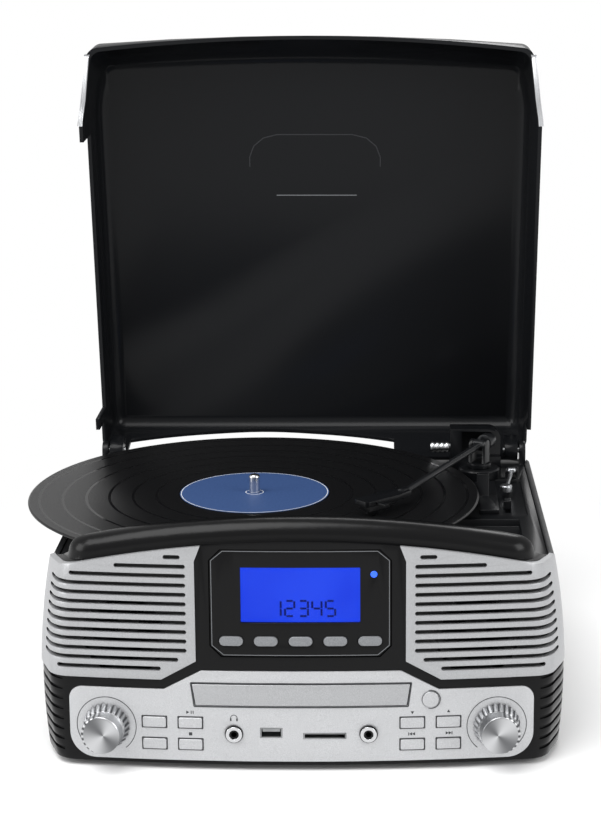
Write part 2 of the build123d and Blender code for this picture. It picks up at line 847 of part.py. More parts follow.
def make_screws():
    screws = Part()
    for x in (-foot_x, foot_x):
        for y in foot_y:
            screws += rod(x, y, base_z - 1 - 1.6, screw_r, 1.6) + rod(x, y, base_z - 1, screw_shank_r, 18)
    for x in (-rear_plate_half + 2, rear_plate_half - 2):
        for z in rear_screw_z:
            screws += rod(x, rear_y, z, screw_r, 1.6, "Y") + rod(x, rear_y - wall, z, screw_shank_r, wall, "Y")
    return screws


def make_rear_panel():
    middle = (rear_plate_low_z + rear_plate_high_z) / 2
    high = rear_plate_high_z - rear_plate_low_z
    face = Pos(0, middle) * RectangleRounded(2 * rear_plate_half, high, 4 - fit_gap)
    for i in range(vent_count):
        face -= Pos(vent_x + i * vent_pitch, middle) * SlotOverall(high - 24, 3, rotation=90)
    face -= Pos(inlet_x, outlet_z) * Circle(inlet_r + 2)
    for x in outlet_x:
        face -= Pos(x, outlet_z) * Circle(outlet_r)
    for x in (-rear_plate_half + 2, rear_plate_half - 2):
        for z in rear_screw_z:
            face -= Pos(x, z) * Circle(screw_shank_r)
    return front_prism(face, rear_y - rear_plate_t, rear_y)


def make_rear_sockets():
    face = rear_y + 1.5
    inlet = rod(inlet_x, rear_y - 12, outlet_z, inlet_r + 2, 13.5, "Y")
    inlet -= rod(inlet_x, rear_y - 9, outlet_z, inlet_r, 20, "Y")
    part = inlet + rod(inlet_x, rear_y - 10, outlet_z, 1.0, 10, "Y")
    for x in outlet_x:
        socket = rod(x, rear_y - 12, outlet_z, outlet_r, 20, "Y")
        part += socket - rod(x, rear_y - 6, outlet_z, outlet_bore_r, 20, "Y")
    return part


# Deck
def make_deck():
    """Deck plate with the platter well, the lower front right and the hinge ears."""
    gap = wall + fit_gap
    half = flank(deck_z) - gap
    rear = plan(half, front_y + gap, rear_y - gap, rear_taper, 0) & (
        Pos(0, (seam_y + rear_y) / 2 + 0.5) * Rectangle(400, rear_y - seam_y - 1))
    shelf = hood_depth + fit_gap
    tongue = plan(flank(deck_z) - shelf, front_y + shelf, rear_y - 60, rear_taper, 0) & (
        Pos(0, (front_y + seam_y) / 2 + 5) * Rectangle(400, seam_y - front_y + 14))
    outline = rear + tongue
    plate = Pos(0, 0, deck_top_z - deck_t) * extrude(outline, deck_t)
    well = Pos(spindle_x, spindle_y, 0)
    bowl = ring_about([(0, well_z - deck_t), (well_r + deck_t, well_z - deck_t), (well_r + deck_t, deck_top_z),
                       (well_r, deck_top_z), (well_r, well_z), (0, well_z)])
    plate = plate - well * rod(0, 0, 0, well_r + deck_t / 2, 200) + well * bowl
    x0, x1, y0, y1 = lower_deck
    low = deck_floor_z - deck_t
    pan = block(x0 - deck_t, x1 + deck_t, y0 - deck_t, y1 + deck_t, low, deck_top_z)
    pan -= block(x0, x1, y0, y1, deck_floor_z, deck_top_z + 1)
    plate = plate - block(x0, x1, y0, y1, low - 1, 200) + pan
    plate -= rod(*motor_xy, 0, 4, 200)
    plate -= rod(spindle_x, spindle_y, 0, spindle_r, 200)
    plate -= block(channel_x[0], channel_x[1], channel_y[0], channel_y[1], deck_top_z - 1.2, 200)
    plate -= block(speed_x - 1.7, speed_x + 1.7, speed_y - switch_travel - 3, speed_y + 3, 0, 200)
    ear = rod(0, hinge_y, hinge_z, ear_r, ear_t, "X") + block(
        0, ear_t, hinge_y - ear_r, hinge_y + ear_r, deck_top_z, hinge_z)
    ear -= rod(-1, hinge_y, hinge_z, hinge_pin_r, 20, "X")
    plate += Pos(ear_in, 0, 0) * ear + Pos(-ear_in - ear_t, 0, 0) * ear
    return plate + make_lever_bracket()


def make_lever_bracket():
    """Two cheeks bored for the cue lever's pin."""
    part = Part()
    for x in (lever_x - 4.5, lever_x + 2.7):
        cheek = block(x, x + 1.8, lever_y - 3, lever_y + 3, deck_top_z - 1.5, lever_z) + rod(
            x, lever_y, lever_z, 3, 1.8, "X")
        part += cheek - rod(x - 1, lever_y, lever_z, pin_r + bore_gap, 4, "X")
    return part


def make_hinge_pins():
    pin = rod(lug_in - 1, hinge_y, hinge_z, hinge_pin_r, ear_in + ear_t - lug_in + 1, "X")
    return both_sides(pin)


# Platter and record
def at_spindle(part):
    return Pos(spindle_x, spindle_y, 0) * part


def make_spindle():
    shaft = rod(0, 0, well_z - deck_t - 3, spindle_r, spindle_top_z - well_z + deck_t + 3)
    shaft = fillet(shaft.faces().sort_by(Axis.Z)[-1].edges(), spindle_r * 0.6)
    nut = rod(0, 0, well_z - deck_t - 3, 7, 3)
    return at_spindle(shaft + rod(0, 0, well_z, 8, flange_h) + nut)


def make_platter():
    """Disc with its drive ring, hub and spokes under it."""
    top = record_top_z - record_t - mat_t
    low = top - platter_t
    hub = spindle_r + bore_gap
    base = well_z + flange_h + fit_gap
    points = [(hub, base), (10, base), (10, low), (drive_ring_r - 3.5, low), (drive_ring_r - 3.5, low - drive_ring_h),
              (drive_ring_r, low - drive_ring_h), (drive_ring_r, low), (platter_r, low + 1),
              (platter_r, top - 0.8), (platter_r - 0.8, top), (hub, top)]
    spokes = Part()
    for i in range(6):
        spokes += Rot(0, 0, 60 * i) * block(9, drive_ring_r - 3, -1.2, 1.2, low - 5, low + 0.5)
    return at_spindle(ring_about(points) + spokes)


def make_record():
    """Disc with a raised bead at its edge and a raised middle."""
    low, top = record_top_z - record_t, record_top_z
    hub = spindle_r + bore_gap
    sink = 0.35
    points = [(hub, low), (record_r - 1, low), (record_r, low + 0.7), (record_r, top - 0.7), (record_r - 1, top),
              (record_r - 5, top - sink), (label_r + 6, top - sink), (label_r + 3, top), (hub, top)]
    return at_spindle(ring_about(points))


def make_label():
    ring = Circle(label_r) - Circle(spindle_r + bore_gap + 0.2)
    return at_spindle(Pos(0, 0, record_top_z) * extrude(ring, label_t))


def belt_outline(grow):
    """Outline round the drive ring and the pulley."""
    a = Vector(spindle_x, spindle_y)
    b = Vector(*motor_xy)
    big, small = drive_ring_r + grow, pulley_r + grow
    run = b - a
    lean = acos((big - small) / run.length)
    angle = atan2(run.Y, run.X)
    tips = []
    for sign in (1, -1):
        direction = Vector(cos(angle + sign * lean), sin(angle + sign * lean))
        tips.append((a + direction * big, b + direction * small))
    far = a - run.normalized() * big
    near = b + run.normalized() * small
    return make_face([ThreePointArc(tips[0][0], far, tips[1][0]), Line(tips[1][0], tips[1][1]),
                      ThreePointArc(tips[1][1], near, tips[0][1]), Line(tips[0][1], tips[0][0])])


def make_belt():
    ring = belt_outline(belt_gap + belt_t) - belt_outline(belt_gap)
    return Pos(0, 0, belt_z - belt_h / 2) * extrude(ring, belt_h)


def make_motor():
    x, y = motor_xy
    top = well_z - deck_t
    can = rod(x, y, top - motor_h, motor_r, motor_h)
    can = fillet(can.faces().sort_by(Axis.Z)[0].edges(), 1.5)
    return can + rod(x, y, top, 3, 2) + rod(x, y, top, 1, belt_z + 3 - top)


def make_pulley():
    x, y = motor_xy
    part = rod(x, y, belt_z - 3, pulley_r + 1.2, 6)
    groove = ring_about([(pulley_r, -belt_h / 2 - 0.2), (pulley_r + 2, -belt_h / 2 - 0.2),
                         (pulley_r + 2, belt_h / 2 + 0.2), (pulley_r, belt_h / 2 + 0.2)])
    return part - Pos(x, y, belt_z) * groove - rod(x, y, belt_z - 4, 1 + bore_gap, 20)


# Tone arm, made pointing to the front with its pivot at the origin
def at_pivot(part, turn=True):
    return Pos(arm_x, arm_y, arm_z) * (Rot(0, 0, arm_angle) if turn else Rot(0, 0, 0)) * part


def make_arm_base():
    foot = rod(arm_x, arm_y, deck_top_z, arm_base_r, arm_base_z - deck_top_z)
    foot = chamfer(foot.faces().sort_by(Axis.Z)[-1].edges(), 1.0)
    post = rod(arm_x, arm_y, arm_base_z, post_r, 3)
    outline = polygon((house_x0, deck_top_z), (house_x1, deck_top_z), (house_x1, house_z1), (house_x0, house_z1))
    corner = [v for v in outline.vertices() if v.X > house_x0 + 1 and v.Y > house_z1 - 1]
    outline = fillet(corner, 9)
    house = front_prism(outline, house_y0, house_y1)
    pocket = block(arm_x - 12, house_x1 + 1, house_y0 - 1, house_y0 + 8, arm_base_z + 4, house_z1 - 1.6)
    pocket += block(arm_x - 12, house_x1 - 2, house_y0 - 1, house_y0 + 8, arm_base_z + 4, house_z1 - 1.6)
    return foot + post + (house - pocket)


def make_gimbal():
    drop = arm_z - arm_base_z
    base = rod(0, 0, -drop + fit_gap, yoke_r, 3.4)
    cheek = block(yoke_half - 2.2, yoke_half, -4.2, 4.2, -drop + 1, 0) + rod(yoke_half - 2.2, 0, 0, 4.2, 2.2, "X")
    pin = rod(pin_in, 0, 0, pin_r, yoke_half - pin_in, "X")
    bore = rod(0, 0, -drop - 1, post_r + bore_gap, 3 + 1.2)
    return at_pivot(base - bore + both_sides(cheek + pin))


def make_arm():
    """Pivot block, slightly drooping tube and tail stub."""
    half = yoke_half - 2.2 - fit_gap
    hub = rod(-half, 0, 0, 4.0, 2 * half, "X") - both_sides(rod(pin_in - 0.3, 0, 0, pin_r + bore_gap, 20, "X"))
    tube_part = Rot(arm_drop, 0, 0) * rod(0, -tube_len, 0, tube_r, tube_len - 3, "Y")
    tail = rod(0, 3, 0, tube_r, weight_back - 3, "Y")
    return at_pivot(hub + tube_part + tail)


def tube_end():
    """Where the tube ends, in the arm's own frame."""
    slope = radians(arm_drop)
    return Vector(0, -tube_len * cos(slope), -tube_len * sin(slope))


def at_head(part):
    end = tube_end()
    return at_pivot(Pos(end.X, end.Y, end.Z) * Rot(0, 0, head_turn) * part)


def make_headshell():
    """Tapered shell with a collar on the tube and a finger lift."""
    shell = polygon((-4.5, 4), (4.5, 4), (7.2, -10), (6.8, -head_len), (-6.8, -head_len), (-7.2, -10))
    top = Pos(0, 0, -1.2) * extrude(shell, 3.6)
    top = fillet(top.edges().filter_by(Axis.Z).sort_by(Axis.Y)[:2], 3)
    top -= block(-5, 5, -head_len + 2, 0, -3, 0.8)
    collar = Rot(0, 0, -head_turn) * rod(0, -2, 0, tube_r + 1.2, 7, "Y")
    finger = block(6, 15, -head_len + 8, -head_len + 11, -0.2, 1.2)
    socket = Rot(0, 0, -head_turn) * Rot(arm_drop, 0, 0) * rod(0, 0, 0, tube_r, 12, "Y")
    return at_head(top + collar + finger - socket)


def make_cartridge():
    """Cartridge body under the shell, with the stylus down to just over the record."""
    end = tube_end()
    body = block(-4.6, 4.6, -head_len + 4, -head_len + 22, -5, 0.8)
    tip_y = -head_len + 6
    tip_z = record_top_z + 0.2 - arm_z - end.Z
    nose = block(-2.2, 2.2, tip_y - 1.5, tip_y + 10, -7, -5)
    stylus = Pos(0, tip_y, tip_z) * Cone(0.25, 0.8, -6.5 - tip_z, align=(Align.CENTER, Align.CENTER, Align.MIN))
    return at_head(body + nose + stylus)


def make_weight():
    part = tube(0, weight_front, 0, weight_r, tube_r, weight_back - weight_front, "Y")
    return at_pivot(part)


def make_damper():
    """Ribbed bright cylinder on the left of the housing."""
    y, z = damper_place
    bar = rod(house_x0 - damper_len, y, z, damper_r - 0.7, damper_len, "X")
    for i in range(4):
        bar += rod(house_x0 - damper_len + 0.6 + 3.4 * i, y, z, damper_r, 2.2, "X")
    return bar


def make_arm_rest():
    """Low pad with a post at its rear that the arm's tube is laid on."""
    x0, x1 = rest_x
    pad = block(x0, x1, rest_y0, rest_y1, deck_top_z, deck_top_z + 3)
    top = arm_z - (arm_y - rest_y1) * tan(radians(arm_drop)) - tube_r - 0.5
    post = block(arm_x - 4, arm_x + 4, rest_y1 - 4, rest_y1, deck_top_z, top)
    return pad + post


def make_lever():
    """Cue lever: cross pin, bent rod and round knob."""
    pin = rod(lever_x - 4.5, lever_y, lever_z, pin_r, 9, "X")
    hub = rod(lever_x - 2.4, lever_y, lever_z, 2.8, 4.8, "X")
    end_x = lever_x - lever_shift
    run = sqrt(lever_len**2 + lever_shift**2)
    lean = degrees(atan2(lever_shift, lever_len))
    bar = Pos(lever_x, lever_y, lever_z) * Rot(0, 0, -lean) * rod(0, -run, 0, 1.3, run, "Y")
    knob = rod(end_x, lever_y - lever_len, lever_z - 1.6, 4.2, 4.4)
    knob = fillet(knob.faces().sort_by(Axis.Z)[-1].edges(), 1.2)
    return pin + hub + bar + knob


def make_speed_switch():
    """Sliding knob on a stem through its slot in the deck."""
    knob = block(speed_x - switch_w / 2, speed_x + switch_w / 2, speed_y - switch_len / 2, speed_y + switch_len / 2,
                 deck_top_z + 0.3 - 1.2, deck_top_z + switch_h)
    knob = fillet(knob.faces().sort_by(Axis.Z)[-1].edges(), 0.8)
    stem = block(speed_x - 1.4, speed_x + 1.4, speed_y - 2.4, speed_y + 2.4, deck_top_z - deck_t - 3, deck_top_z)
    foot = block(speed_x - 3.5, speed_x + 3.5, speed_y - 2.4, speed_y + 2.4, deck_top_z - deck_t - 4.3,
                 deck_top_z - deck_t - 0.3)
    return knob + stem + foot


# Dust cover, shut
def cover_plan(half, front, rear, z):
    """Plan outline of the cover: canted sides to narrower front corners, slightly bowed front."""
    corner = (half - cover_nose_in, front + cover_nose_back)
    turn = (half, cover_turn_y)
    end = (half - cover_taper, rear)
    points = [corner, turn, end]
    mirrored = [(-x, y) for x, y in reversed(points)]
    face = make_face([ThreePointArc((-corner[0], corner[1]), (0, front), corner), Polyline(*points, *mirrored)])
    for x, radius in ((corner[0], cover_nose_r), (half, side_round), (end[0], cover_rear_r)):
        face = fillet([v for v in face.vertices() if abs(abs(v.X) - x) < 0.01], radius)
    return Pos(0, 0, z) * face


def cover_form(inset):
    """The cover's outer form, or one inset from it. Its front leans back above the arch."""
    sections = []
    low = cover_rim_z - (1 if inset else 0)
    knee = arch_z + cover_seat_gap
    for z in (low, knee, cover_top_z - inset):
        lean = max(0, z - knee) / (cover_top_z - knee)
        share = (z - cover_rim_z) / (cover_top_z - cover_rim_z)
        sections.append(cover_plan(cover_half - inset - share * cover_lean_side,
                                   cover_front_y + inset + lean * cover_lean_front,
                                   cover_rear_y - inset - share * cover_lean_rear, z))
    form = loft(sections, ruled=True)
    crown = [e for e in form.edges() if e.center().Z > cover_top_z - inset - 0.1]
    return fillet(crown, cover_round - inset)


def under_rim(rise):
    """Everything below the cover's rim over the fascia, raised by rise."""
    return front_prism(arch_face(rise, -60), front_y - 30, seam_y + 1) & below_slope(rise)


def swing(part, angle):
    """Turn a piece about the cover's hinge."""
    return Pos(0, hinge_y, hinge_z) * Rot(angle, 0, 0) * Pos(0, -hinge_y, -hinge_z) * part


def make_cover():
    """Thin shell made shut, with its rims, lugs and the ways for the record, then opened."""
    cover = cover_form(0) - cover_form(cover_wall)
    cover -= under_rim(cover_seat_gap)
    cover -= block(-200, 200, hinge_y - 4, 200, 0, cover_rear_rim_z)
    way = rod(spindle_x, spindle_y, hinge_z - 15, record_r + record_clear, 24)
    sight = rod(sight_mid_x, sight_back_y - sight_r, hinge_z - 15, sight_r, 24) & block(
        *sight_x, spindle_y, sight_back_y + 1, 0, 200)
    cover -= swing(way + sight, cover_open)
    lug = rod(lug_in, hinge_y, hinge_z, ear_r, lug_out - lug_in, "X") + block(
        lug_in, lug_out, hinge_y - ear_r, cover_rear_y - 1.2, hinge_z, hinge_z + 14)
    cover += both_sides(lug)
    cover -= both_sides(block(lug_out, 200, notch_y, 200, 0, notch_z))
    cover -= both_sides(rod(lug_in - 1, hinge_y, hinge_z, hinge_pin_r + bore_gap, 12, "X"))
    cover -= block(-200, -cover_half + 30, record_slot_y[0], record_slot_y[1], 0, notch_top_z)
    return swing(cover, -cover_open)


def make_trim():
    """Bright strips along the cover's rim at both front corners."""
    band = cover_form(-trim_t) - cover_form(0)
    band = band & (under_rim(cover_seat_gap + trim_h) - under_rim(cover_seat_gap + 0.4))
    side = band & block(trim_from_x, 200, trim_front_y, trim_back_y, 0, 200)
    return swing(both_sides(side), -cover_open)


pieces["display_window"] = make_window()
pieces["lcd_module"] = make_lcd()
for i, (x, z) in enumerate(source_places()):
    pieces[f"source_button_{i + 1}"] = make_button(
        pill(x, z), pill(x, z, 0.8), source_proud, panel_inset, panel_t, lcd_back_y, 3)
key_inset = -control_proud
for name, (x, z) in key_names.items():
    pieces[name] = make_button(key_plate(x, z), key_plate(x, z, 0.9), key_proud, key_inset, control_t, board_y,
                               key_stem)
eject_face = Pos(eject_x, eject_z) * Circle(eject_r)
eject_flange = Pos(eject_x, eject_z) * Circle(eject_r + 0.9)
pieces["eject_button"] = make_button(eject_face, eject_flange, key_proud, key_inset, control_t, board_y, 4)
pieces["volume_knob"] = make_knob(-1)
pieces["tuning_knob"] = make_knob(1)
pieces["knob_encoders"] = make_encoder(-1) + make_encoder(1)
pieces["audio_jacks"] = make_jack(-jack_x) + make_jack(jack_x)
pieces["media_sockets"] = make_port(usb_x, usb_z, usb_w, usb_h, 0.6, True) + make_port(
    card_x, card_z, card_w, card_h, 0.6, False)
pieces["circuit_boards"] = make_boards()
pieces["drawer_front"] = make_drawer_front()
pieces["cd_tray"] = make_tray()
pieces["cd_loader"] = make_loader()
pieces["speakers"] = make_speaker(-speaker_x) + make_speaker(speaker_x)
pieces["cabinet"] = make_cabinet()
pieces["bottom_tray"] = make_bottom()
pieces["rubber_feet"] = make_feet()
pieces["case_screws"] = make_screws()
pieces["rear_panel"] = make_rear_panel()
pieces["rear_sockets"] = make_rear_sockets()
pieces["deck_plate"] = make_deck()
pieces["hinge_pins"] = make_hinge_pins()
pieces["spindle"] = make_spindle()
pieces["platter"] = make_platter()
mat_ring = Circle(platter_r) - Circle(spindle_r + bore_gap + 0.2)
pieces["slip_mat"] = at_spindle(Pos(0, 0, record_top_z - record_t - mat_t) * extrude(mat_ring, mat_t))
pieces["record"] = make_record()
pieces["record_label"] = make_label()
pieces["drive_belt"] = make_belt()
pieces["platter_motor"] = make_motor()
pieces["motor_pulley"] = make_pulley()
pieces["tonearm_base"] = make_arm_base()
pieces["arm_gimbal"] = make_gimbal()
pieces["tonearm"] = make_arm()
pieces["headshell"] = make_headshell()
pieces["cartridge"] = make_cartridge()
pieces["counterweight"] = make_weight()
pieces["cue_damper"] = make_damper()
pieces["arm_rest"] = make_arm_rest()
pieces["cue_lever"] = make_lever()
pieces["speed_switch"] = make_speed_switch()
pieces["dust_cover"] = make_cover()
pieces["cover_trim"] = make_trim()

boxes = [piece.bounding_box() for piece in pieces.values()]
middle_x = (min(box.min.X for box in boxes) + max(box.max.X for box in boxes)) / 2
middle_y = (min(box.min.Y for box in boxes) + max(box.max.Y for box in boxes)) / 2
low_z = min(box.min.Z for box in boxes)
print("moved by", round(-middle_x, 4), round(-middle_y, 4), round(-low_z, 4))
os.makedirs("parts", exist_ok=True)
for name, piece in pieces.items():
    export_step(Pos(-middle_x, -middle_y, -low_z) * piece, f"parts/{name}.step")
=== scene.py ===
"""Looks of a table-top music centre: turntable under a hinged cover, silver grilles, blue display."""
import json
import math

import bpy
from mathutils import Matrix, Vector

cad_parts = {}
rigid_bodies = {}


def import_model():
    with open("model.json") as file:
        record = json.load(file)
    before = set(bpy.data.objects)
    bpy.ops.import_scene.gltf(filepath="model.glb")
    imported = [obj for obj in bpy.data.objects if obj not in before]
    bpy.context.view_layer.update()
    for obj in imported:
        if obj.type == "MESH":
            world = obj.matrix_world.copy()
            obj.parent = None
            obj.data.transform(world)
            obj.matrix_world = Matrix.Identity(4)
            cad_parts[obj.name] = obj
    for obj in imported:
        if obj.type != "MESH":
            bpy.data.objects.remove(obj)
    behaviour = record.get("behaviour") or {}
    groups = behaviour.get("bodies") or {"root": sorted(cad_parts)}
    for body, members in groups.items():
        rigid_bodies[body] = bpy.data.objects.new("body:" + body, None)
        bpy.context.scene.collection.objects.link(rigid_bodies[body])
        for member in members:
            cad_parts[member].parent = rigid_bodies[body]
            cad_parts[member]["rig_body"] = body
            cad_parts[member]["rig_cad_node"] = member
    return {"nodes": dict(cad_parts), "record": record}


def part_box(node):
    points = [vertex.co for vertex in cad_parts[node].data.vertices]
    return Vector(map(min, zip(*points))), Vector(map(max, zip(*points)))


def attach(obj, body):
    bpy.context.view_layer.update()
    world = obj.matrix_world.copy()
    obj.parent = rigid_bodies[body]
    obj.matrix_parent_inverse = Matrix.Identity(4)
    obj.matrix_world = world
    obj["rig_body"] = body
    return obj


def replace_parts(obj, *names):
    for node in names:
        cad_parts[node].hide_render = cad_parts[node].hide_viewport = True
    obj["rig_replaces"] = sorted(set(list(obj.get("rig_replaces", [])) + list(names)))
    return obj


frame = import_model()

bl_info = {
    "name": "Music Centre Looks",
    "version": (1, 0, 0),
    "blender": (4, 5, 0),
    "location": "View3D > Sidebar > Music Centre",
    "description": "Dresses the packed music centre and sets its studio",
    "category": "Object",
}

MM = 0.001
RECORD_LOW, RECORD_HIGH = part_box("record")
SPINDLE = (RECORD_LOW + RECORD_HIGH) / 2
PANEL_PROUD = 0.84 * MM
KEY_W, KEY_H = 14.3 * MM, 6.5 * MM
JACK_R = 5.6 * MM
MIDDLE_X = (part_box("grille_left")[0].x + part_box("grille_right")[1].x) / 2
FRONT_R = 1.02
FLUTES = 24
SMOOTH_ANGLE = math.radians(35)
KEY_OUTLINE = 0.5 * MM
PANEL_CUT = 7 * MM
COVER_OPEN = math.radians(84.9)
INSIDE_MM = 55.4


# Sizes and colours that a user would change
class MusicCentreProps(bpy.types.PropertyGroup):
    edge: bpy.props.FloatProperty(
        name="Moulded edge", description="Round on the edges of moulded pieces",
        default=0.35 * MM, unit="LENGTH")
    digits: bpy.props.StringProperty(
        name="Digits", description="Plain digits on the display", default="12345")
    silver: bpy.props.StringProperty(
        name="Silver", description="Colour of the painted silver pieces", default="B3B4B6")
    gloss_black: bpy.props.StringProperty(
        name="Gloss black", description="Colour of the glossy mouldings", default="0A0A0B")
    label: bpy.props.StringProperty(
        name="Label", description="Colour of the record's paper label", default="2A4573")
    backlight: bpy.props.StringProperty(
        name="Backlight", description="Colour of the lit display", default="2048FA")
    light: bpy.props.FloatProperty(
        name="Studio light", description="Power of the main soft light", default=26.0, unit="POWER")


def props():
    return bpy.context.scene.music_centre


# Colours and nodes
def colour(code):
    """Linear RGBA of an sRGB hex value."""
    parts = [int(code[i:i + 2], 16) / 255 for i in (0, 2, 4)]
    linear = [c / 12.92 if c <= 0.04045 else ((c + 0.055) / 1.055) ** 2.4 for c in parts]
    return (*linear, 1.0)


def shades(code, step):
    """Two hex values a little darker and lighter than one."""
    parts = [int(code[i:i + 2], 16) for i in (0, 2, 4)]
    return ["".join(f"{min(255, max(0, part + change)):02X}" for part in parts) for change in (-step, step)]


def add_node(tree, kind, settings=None, links=None):
    """Adds a node; settings are attributes or input values, links are input to output socket."""
    node = tree.nodes.new(kind)
    for key, value in (settings or {}).items():
        if isinstance(key, int) or key in node.inputs:
            node.inputs[key].default_value = value
        else:
            setattr(node, key, value)
    for key, socket in (links or {}).items():
        tree.links.new(socket, node.inputs[key])
    return node


def new_material(name, base, metallic=0.0, roughness=0.4, **extra):
    """A material with its Principled shader, its tree and an Object coordinate socket."""
    material = bpy.data.materials.new(name)
    material.use_nodes = True
    tree = material.node_tree
    shader = tree.nodes["Principled BSDF"]
    shader.inputs["Base Color"].default_value = colour(base)
    shader.inputs["Metallic"].default_value = metallic
    shader.inputs["Roughness"].default_value = roughness
    for key, value in extra.items():
        shader.inputs[key.replace("_", " ")].default_value = value
    place = add_node(tree, "ShaderNodeTexCoord").outputs["Object"]
    return material, tree, shader, place


def grain(tree, place, per_mm, detail=3.0):
    """Noise with about per_mm features in a millimetre."""
    return add_node(tree, "ShaderNodeTexNoise", {"Scale": per_mm * 1000, "Detail": detail},
                    {"Vector": place}).outputs["Fac"]


def bump(tree, shader, height, strength, distance):
    node = add_node(tree, "ShaderNodeBump", {"Strength": strength, "Distance": distance},
                    {"Height": height})
    tree.links.new(node.outputs["Normal"], shader.inputs["Normal"])


def vary(tree, socket, fac, low, high):
    """Feeds a shader's number socket from a 0 to 1 value."""
    node = add_node(tree, "ShaderNodeMapRange", {"To Min": low, "To Max": high}, {"Value": fac})
    tree.links.new(node.outputs["Result"], socket)


def tint(tree, socket, fac, dark, light):
    """Feeds a colour socket with a mix of two colours."""
    ramp = add_node(tree, "ShaderNodeValToRGB", links={"Fac": fac})
    ramp.color_ramp.elements[0].color = colour(dark)
    ramp.color_ramp.elements[1].color = colour(light)
    ramp.color_ramp.elements[0].position = 0.3
    ramp.color_ramp.elements[1].position = 0.7
    tree.links.new(ramp.outputs["Color"], socket)


def radius_from(tree, place, centre):
    """Distance in metres from the upright line through a point."""
    moved = add_node(tree, "ShaderNodeVectorMath", {"operation": "SUBTRACT", 1: (centre[0], centre[1], 0)},
                     {0: place}).outputs["Vector"]
    flat = add_node(tree, "ShaderNodeVectorMath", {"operation": "MULTIPLY", 1: (1, 1, 0)},
                    {0: moved}).outputs["Vector"]
    return add_node(tree, "ShaderNodeVectorMath", {"operation": "LENGTH"}, {0: flat}).outputs["Value"]


def wave(tree, value, period):
    """A 0 to 1 wave of a value, with a period in metres."""
    angle = add_node(tree, "ShaderNodeMath", {"operation": "MULTIPLY", 1: 2 * math.pi / period},
                     {0: value}).outputs[0]
    sine = add_node(tree, "ShaderNodeMath", {"operation": "SINE"}, {0: angle}).outputs[0]
    return add_node(tree, "ShaderNodeMath", {"operation": "MULTIPLY_ADD", 1: 0.5, 2: 0.5},
                    {0: sine}).outputs[0]


# Finishes
def gloss_abs():
    """Injection-moulded black ABS, polished mould: clear reflections with a faint ripple."""
    material, tree, shader, place = new_material("gloss_abs", props().gloss_black, roughness=0.2,
                                                 Specular_IOR_Level=0.2)
    vary(tree, shader.inputs["Roughness"], grain(tree, place, 0.02), 0.2, 0.3)
    bump(tree, shader, grain(tree, place, 0.12, 1.0), 0.04, 0.0004)
    return material


def textured_abs():
    """Black ABS from a spark-eroded mould: a fine even grain that breaks up highlights."""
    material, tree, shader, place = new_material("textured_abs", "121315", roughness=0.42,
                                                 Specular_IOR_Level=0.3)
    vary(tree, shader.inputs["Roughness"], grain(tree, place, 0.05), 0.36, 0.5)
    bump(tree, shader, grain(tree, place, 1.6), 0.18, 0.0002)
    return material


def satin_abs():
    """Black ABS of the deck: between gloss and grain."""
    material, tree, shader, place = new_material("satin_abs", "0D0E10",
                                                 roughness=0.3, Specular_IOR_Level=0.25)
    vary(tree, shader.inputs["Roughness"], grain(tree, place, 0.04), 0.26, 0.36)
    bump(tree, shader, grain(tree, place, 0.9), 0.08, 0.0002)
    return material


def silver_paint():
    """ABS sprayed with aluminium-flake lacquer: soft sheen with a fine sparkle."""
    material, tree, shader, place = new_material("silver_paint", props().silver,
                                                 metallic=0.62, roughness=0.36)
    flake = grain(tree, place, 2.4, 2.0)
    tint(tree, shader.inputs["Base Color"], flake, *shades(props().silver, 12))
    vary(tree, shader.inputs["Roughness"], grain(tree, place, 0.03), 0.33, 0.42)
    bump(tree, shader, flake, 0.05, 0.0001)
    return material


def panel_silver():
    """The same lacquer on the control panel, painted a shade paler than the grilles: a lit copy, standing
    for the brighter light on the panel.
    """
    # painted light: the paler base C2C3C5 and tint B9BABC to D0D1D3 stand for more light falling on the
    # panel
    material, tree, shader, place = new_material("panel_silver", "C2C3C5", metallic=0.55, roughness=0.36)
    flake = grain(tree, place, 2.4, 2.0)
    tint(tree, shader.inputs["Base Color"], flake, "B9BABC", "D0D1D3")
    vary(tree, shader.inputs["Roughness"], grain(tree, place, 0.03), 0.33, 0.42)
    bump(tree, shader, flake, 0.05, 0.0001)
    return material


def key_silver():
    """Painted keys, rubbed a little smoother than the panel."""
    material, tree, shader, place = new_material("key_silver", "CDCED0", metallic=0.5, roughness=0.3)
    flake = grain(tree, place, 2.0, 2.0)
    tint(tree, shader.inputs["Base Color"], flake, "B4B5B7", "CACBCD")
    bump(tree, shader, flake, 0.04, 0.0001)
    return material


def plated_chrome():
    """Chrome-plated ABS, with the slight waviness of plated mouldings."""
    material, tree, shader, place = new_material("plated_chrome", "DCDDDF", metallic=1.0, roughness=0.1)
    vary(tree, shader.inputs["Roughness"], grain(tree, place, 0.15), 0.07, 0.16)
    bump(tree, shader, grain(tree, place, 0.35, 2.0), 0.1, 0.0004)
    return material


def turned_aluminium():
    """Satin aluminium tube with fine drawn lines round it."""
    material, tree, shader, place = new_material("turned_aluminium", "B4B6B9",
                                                 metallic=1.0, roughness=0.28)
    vary(tree, shader.inputs["Roughness"], grain(tree, place, 0.8), 0.22, 0.36)
    bump(tree, shader, grain(tree, place, 1.2), 0.06, 0.0001)
    return material


def black_lacquer():
    """Black-lacquered tube: satin, with short bright lines along its crown."""
    material, tree, shader, place = new_material("black_lacquer", "1B1C1E", metallic=0.3, roughness=0.3,
                                                 Specular_IOR_Level=0.35)
    vary(tree, shader.inputs["Roughness"], grain(tree, place, 0.5), 0.24, 0.38)
    return material


def grey_satin():
    """Painted grey satin buttons."""
    material, tree, shader, place = new_material("grey_satin", "85878A", metallic=0.4, roughness=0.36)
    tint(tree, shader.inputs["Base Color"], grain(tree, place, 1.6, 2.0), "7A7C7F", "909295")
    return material


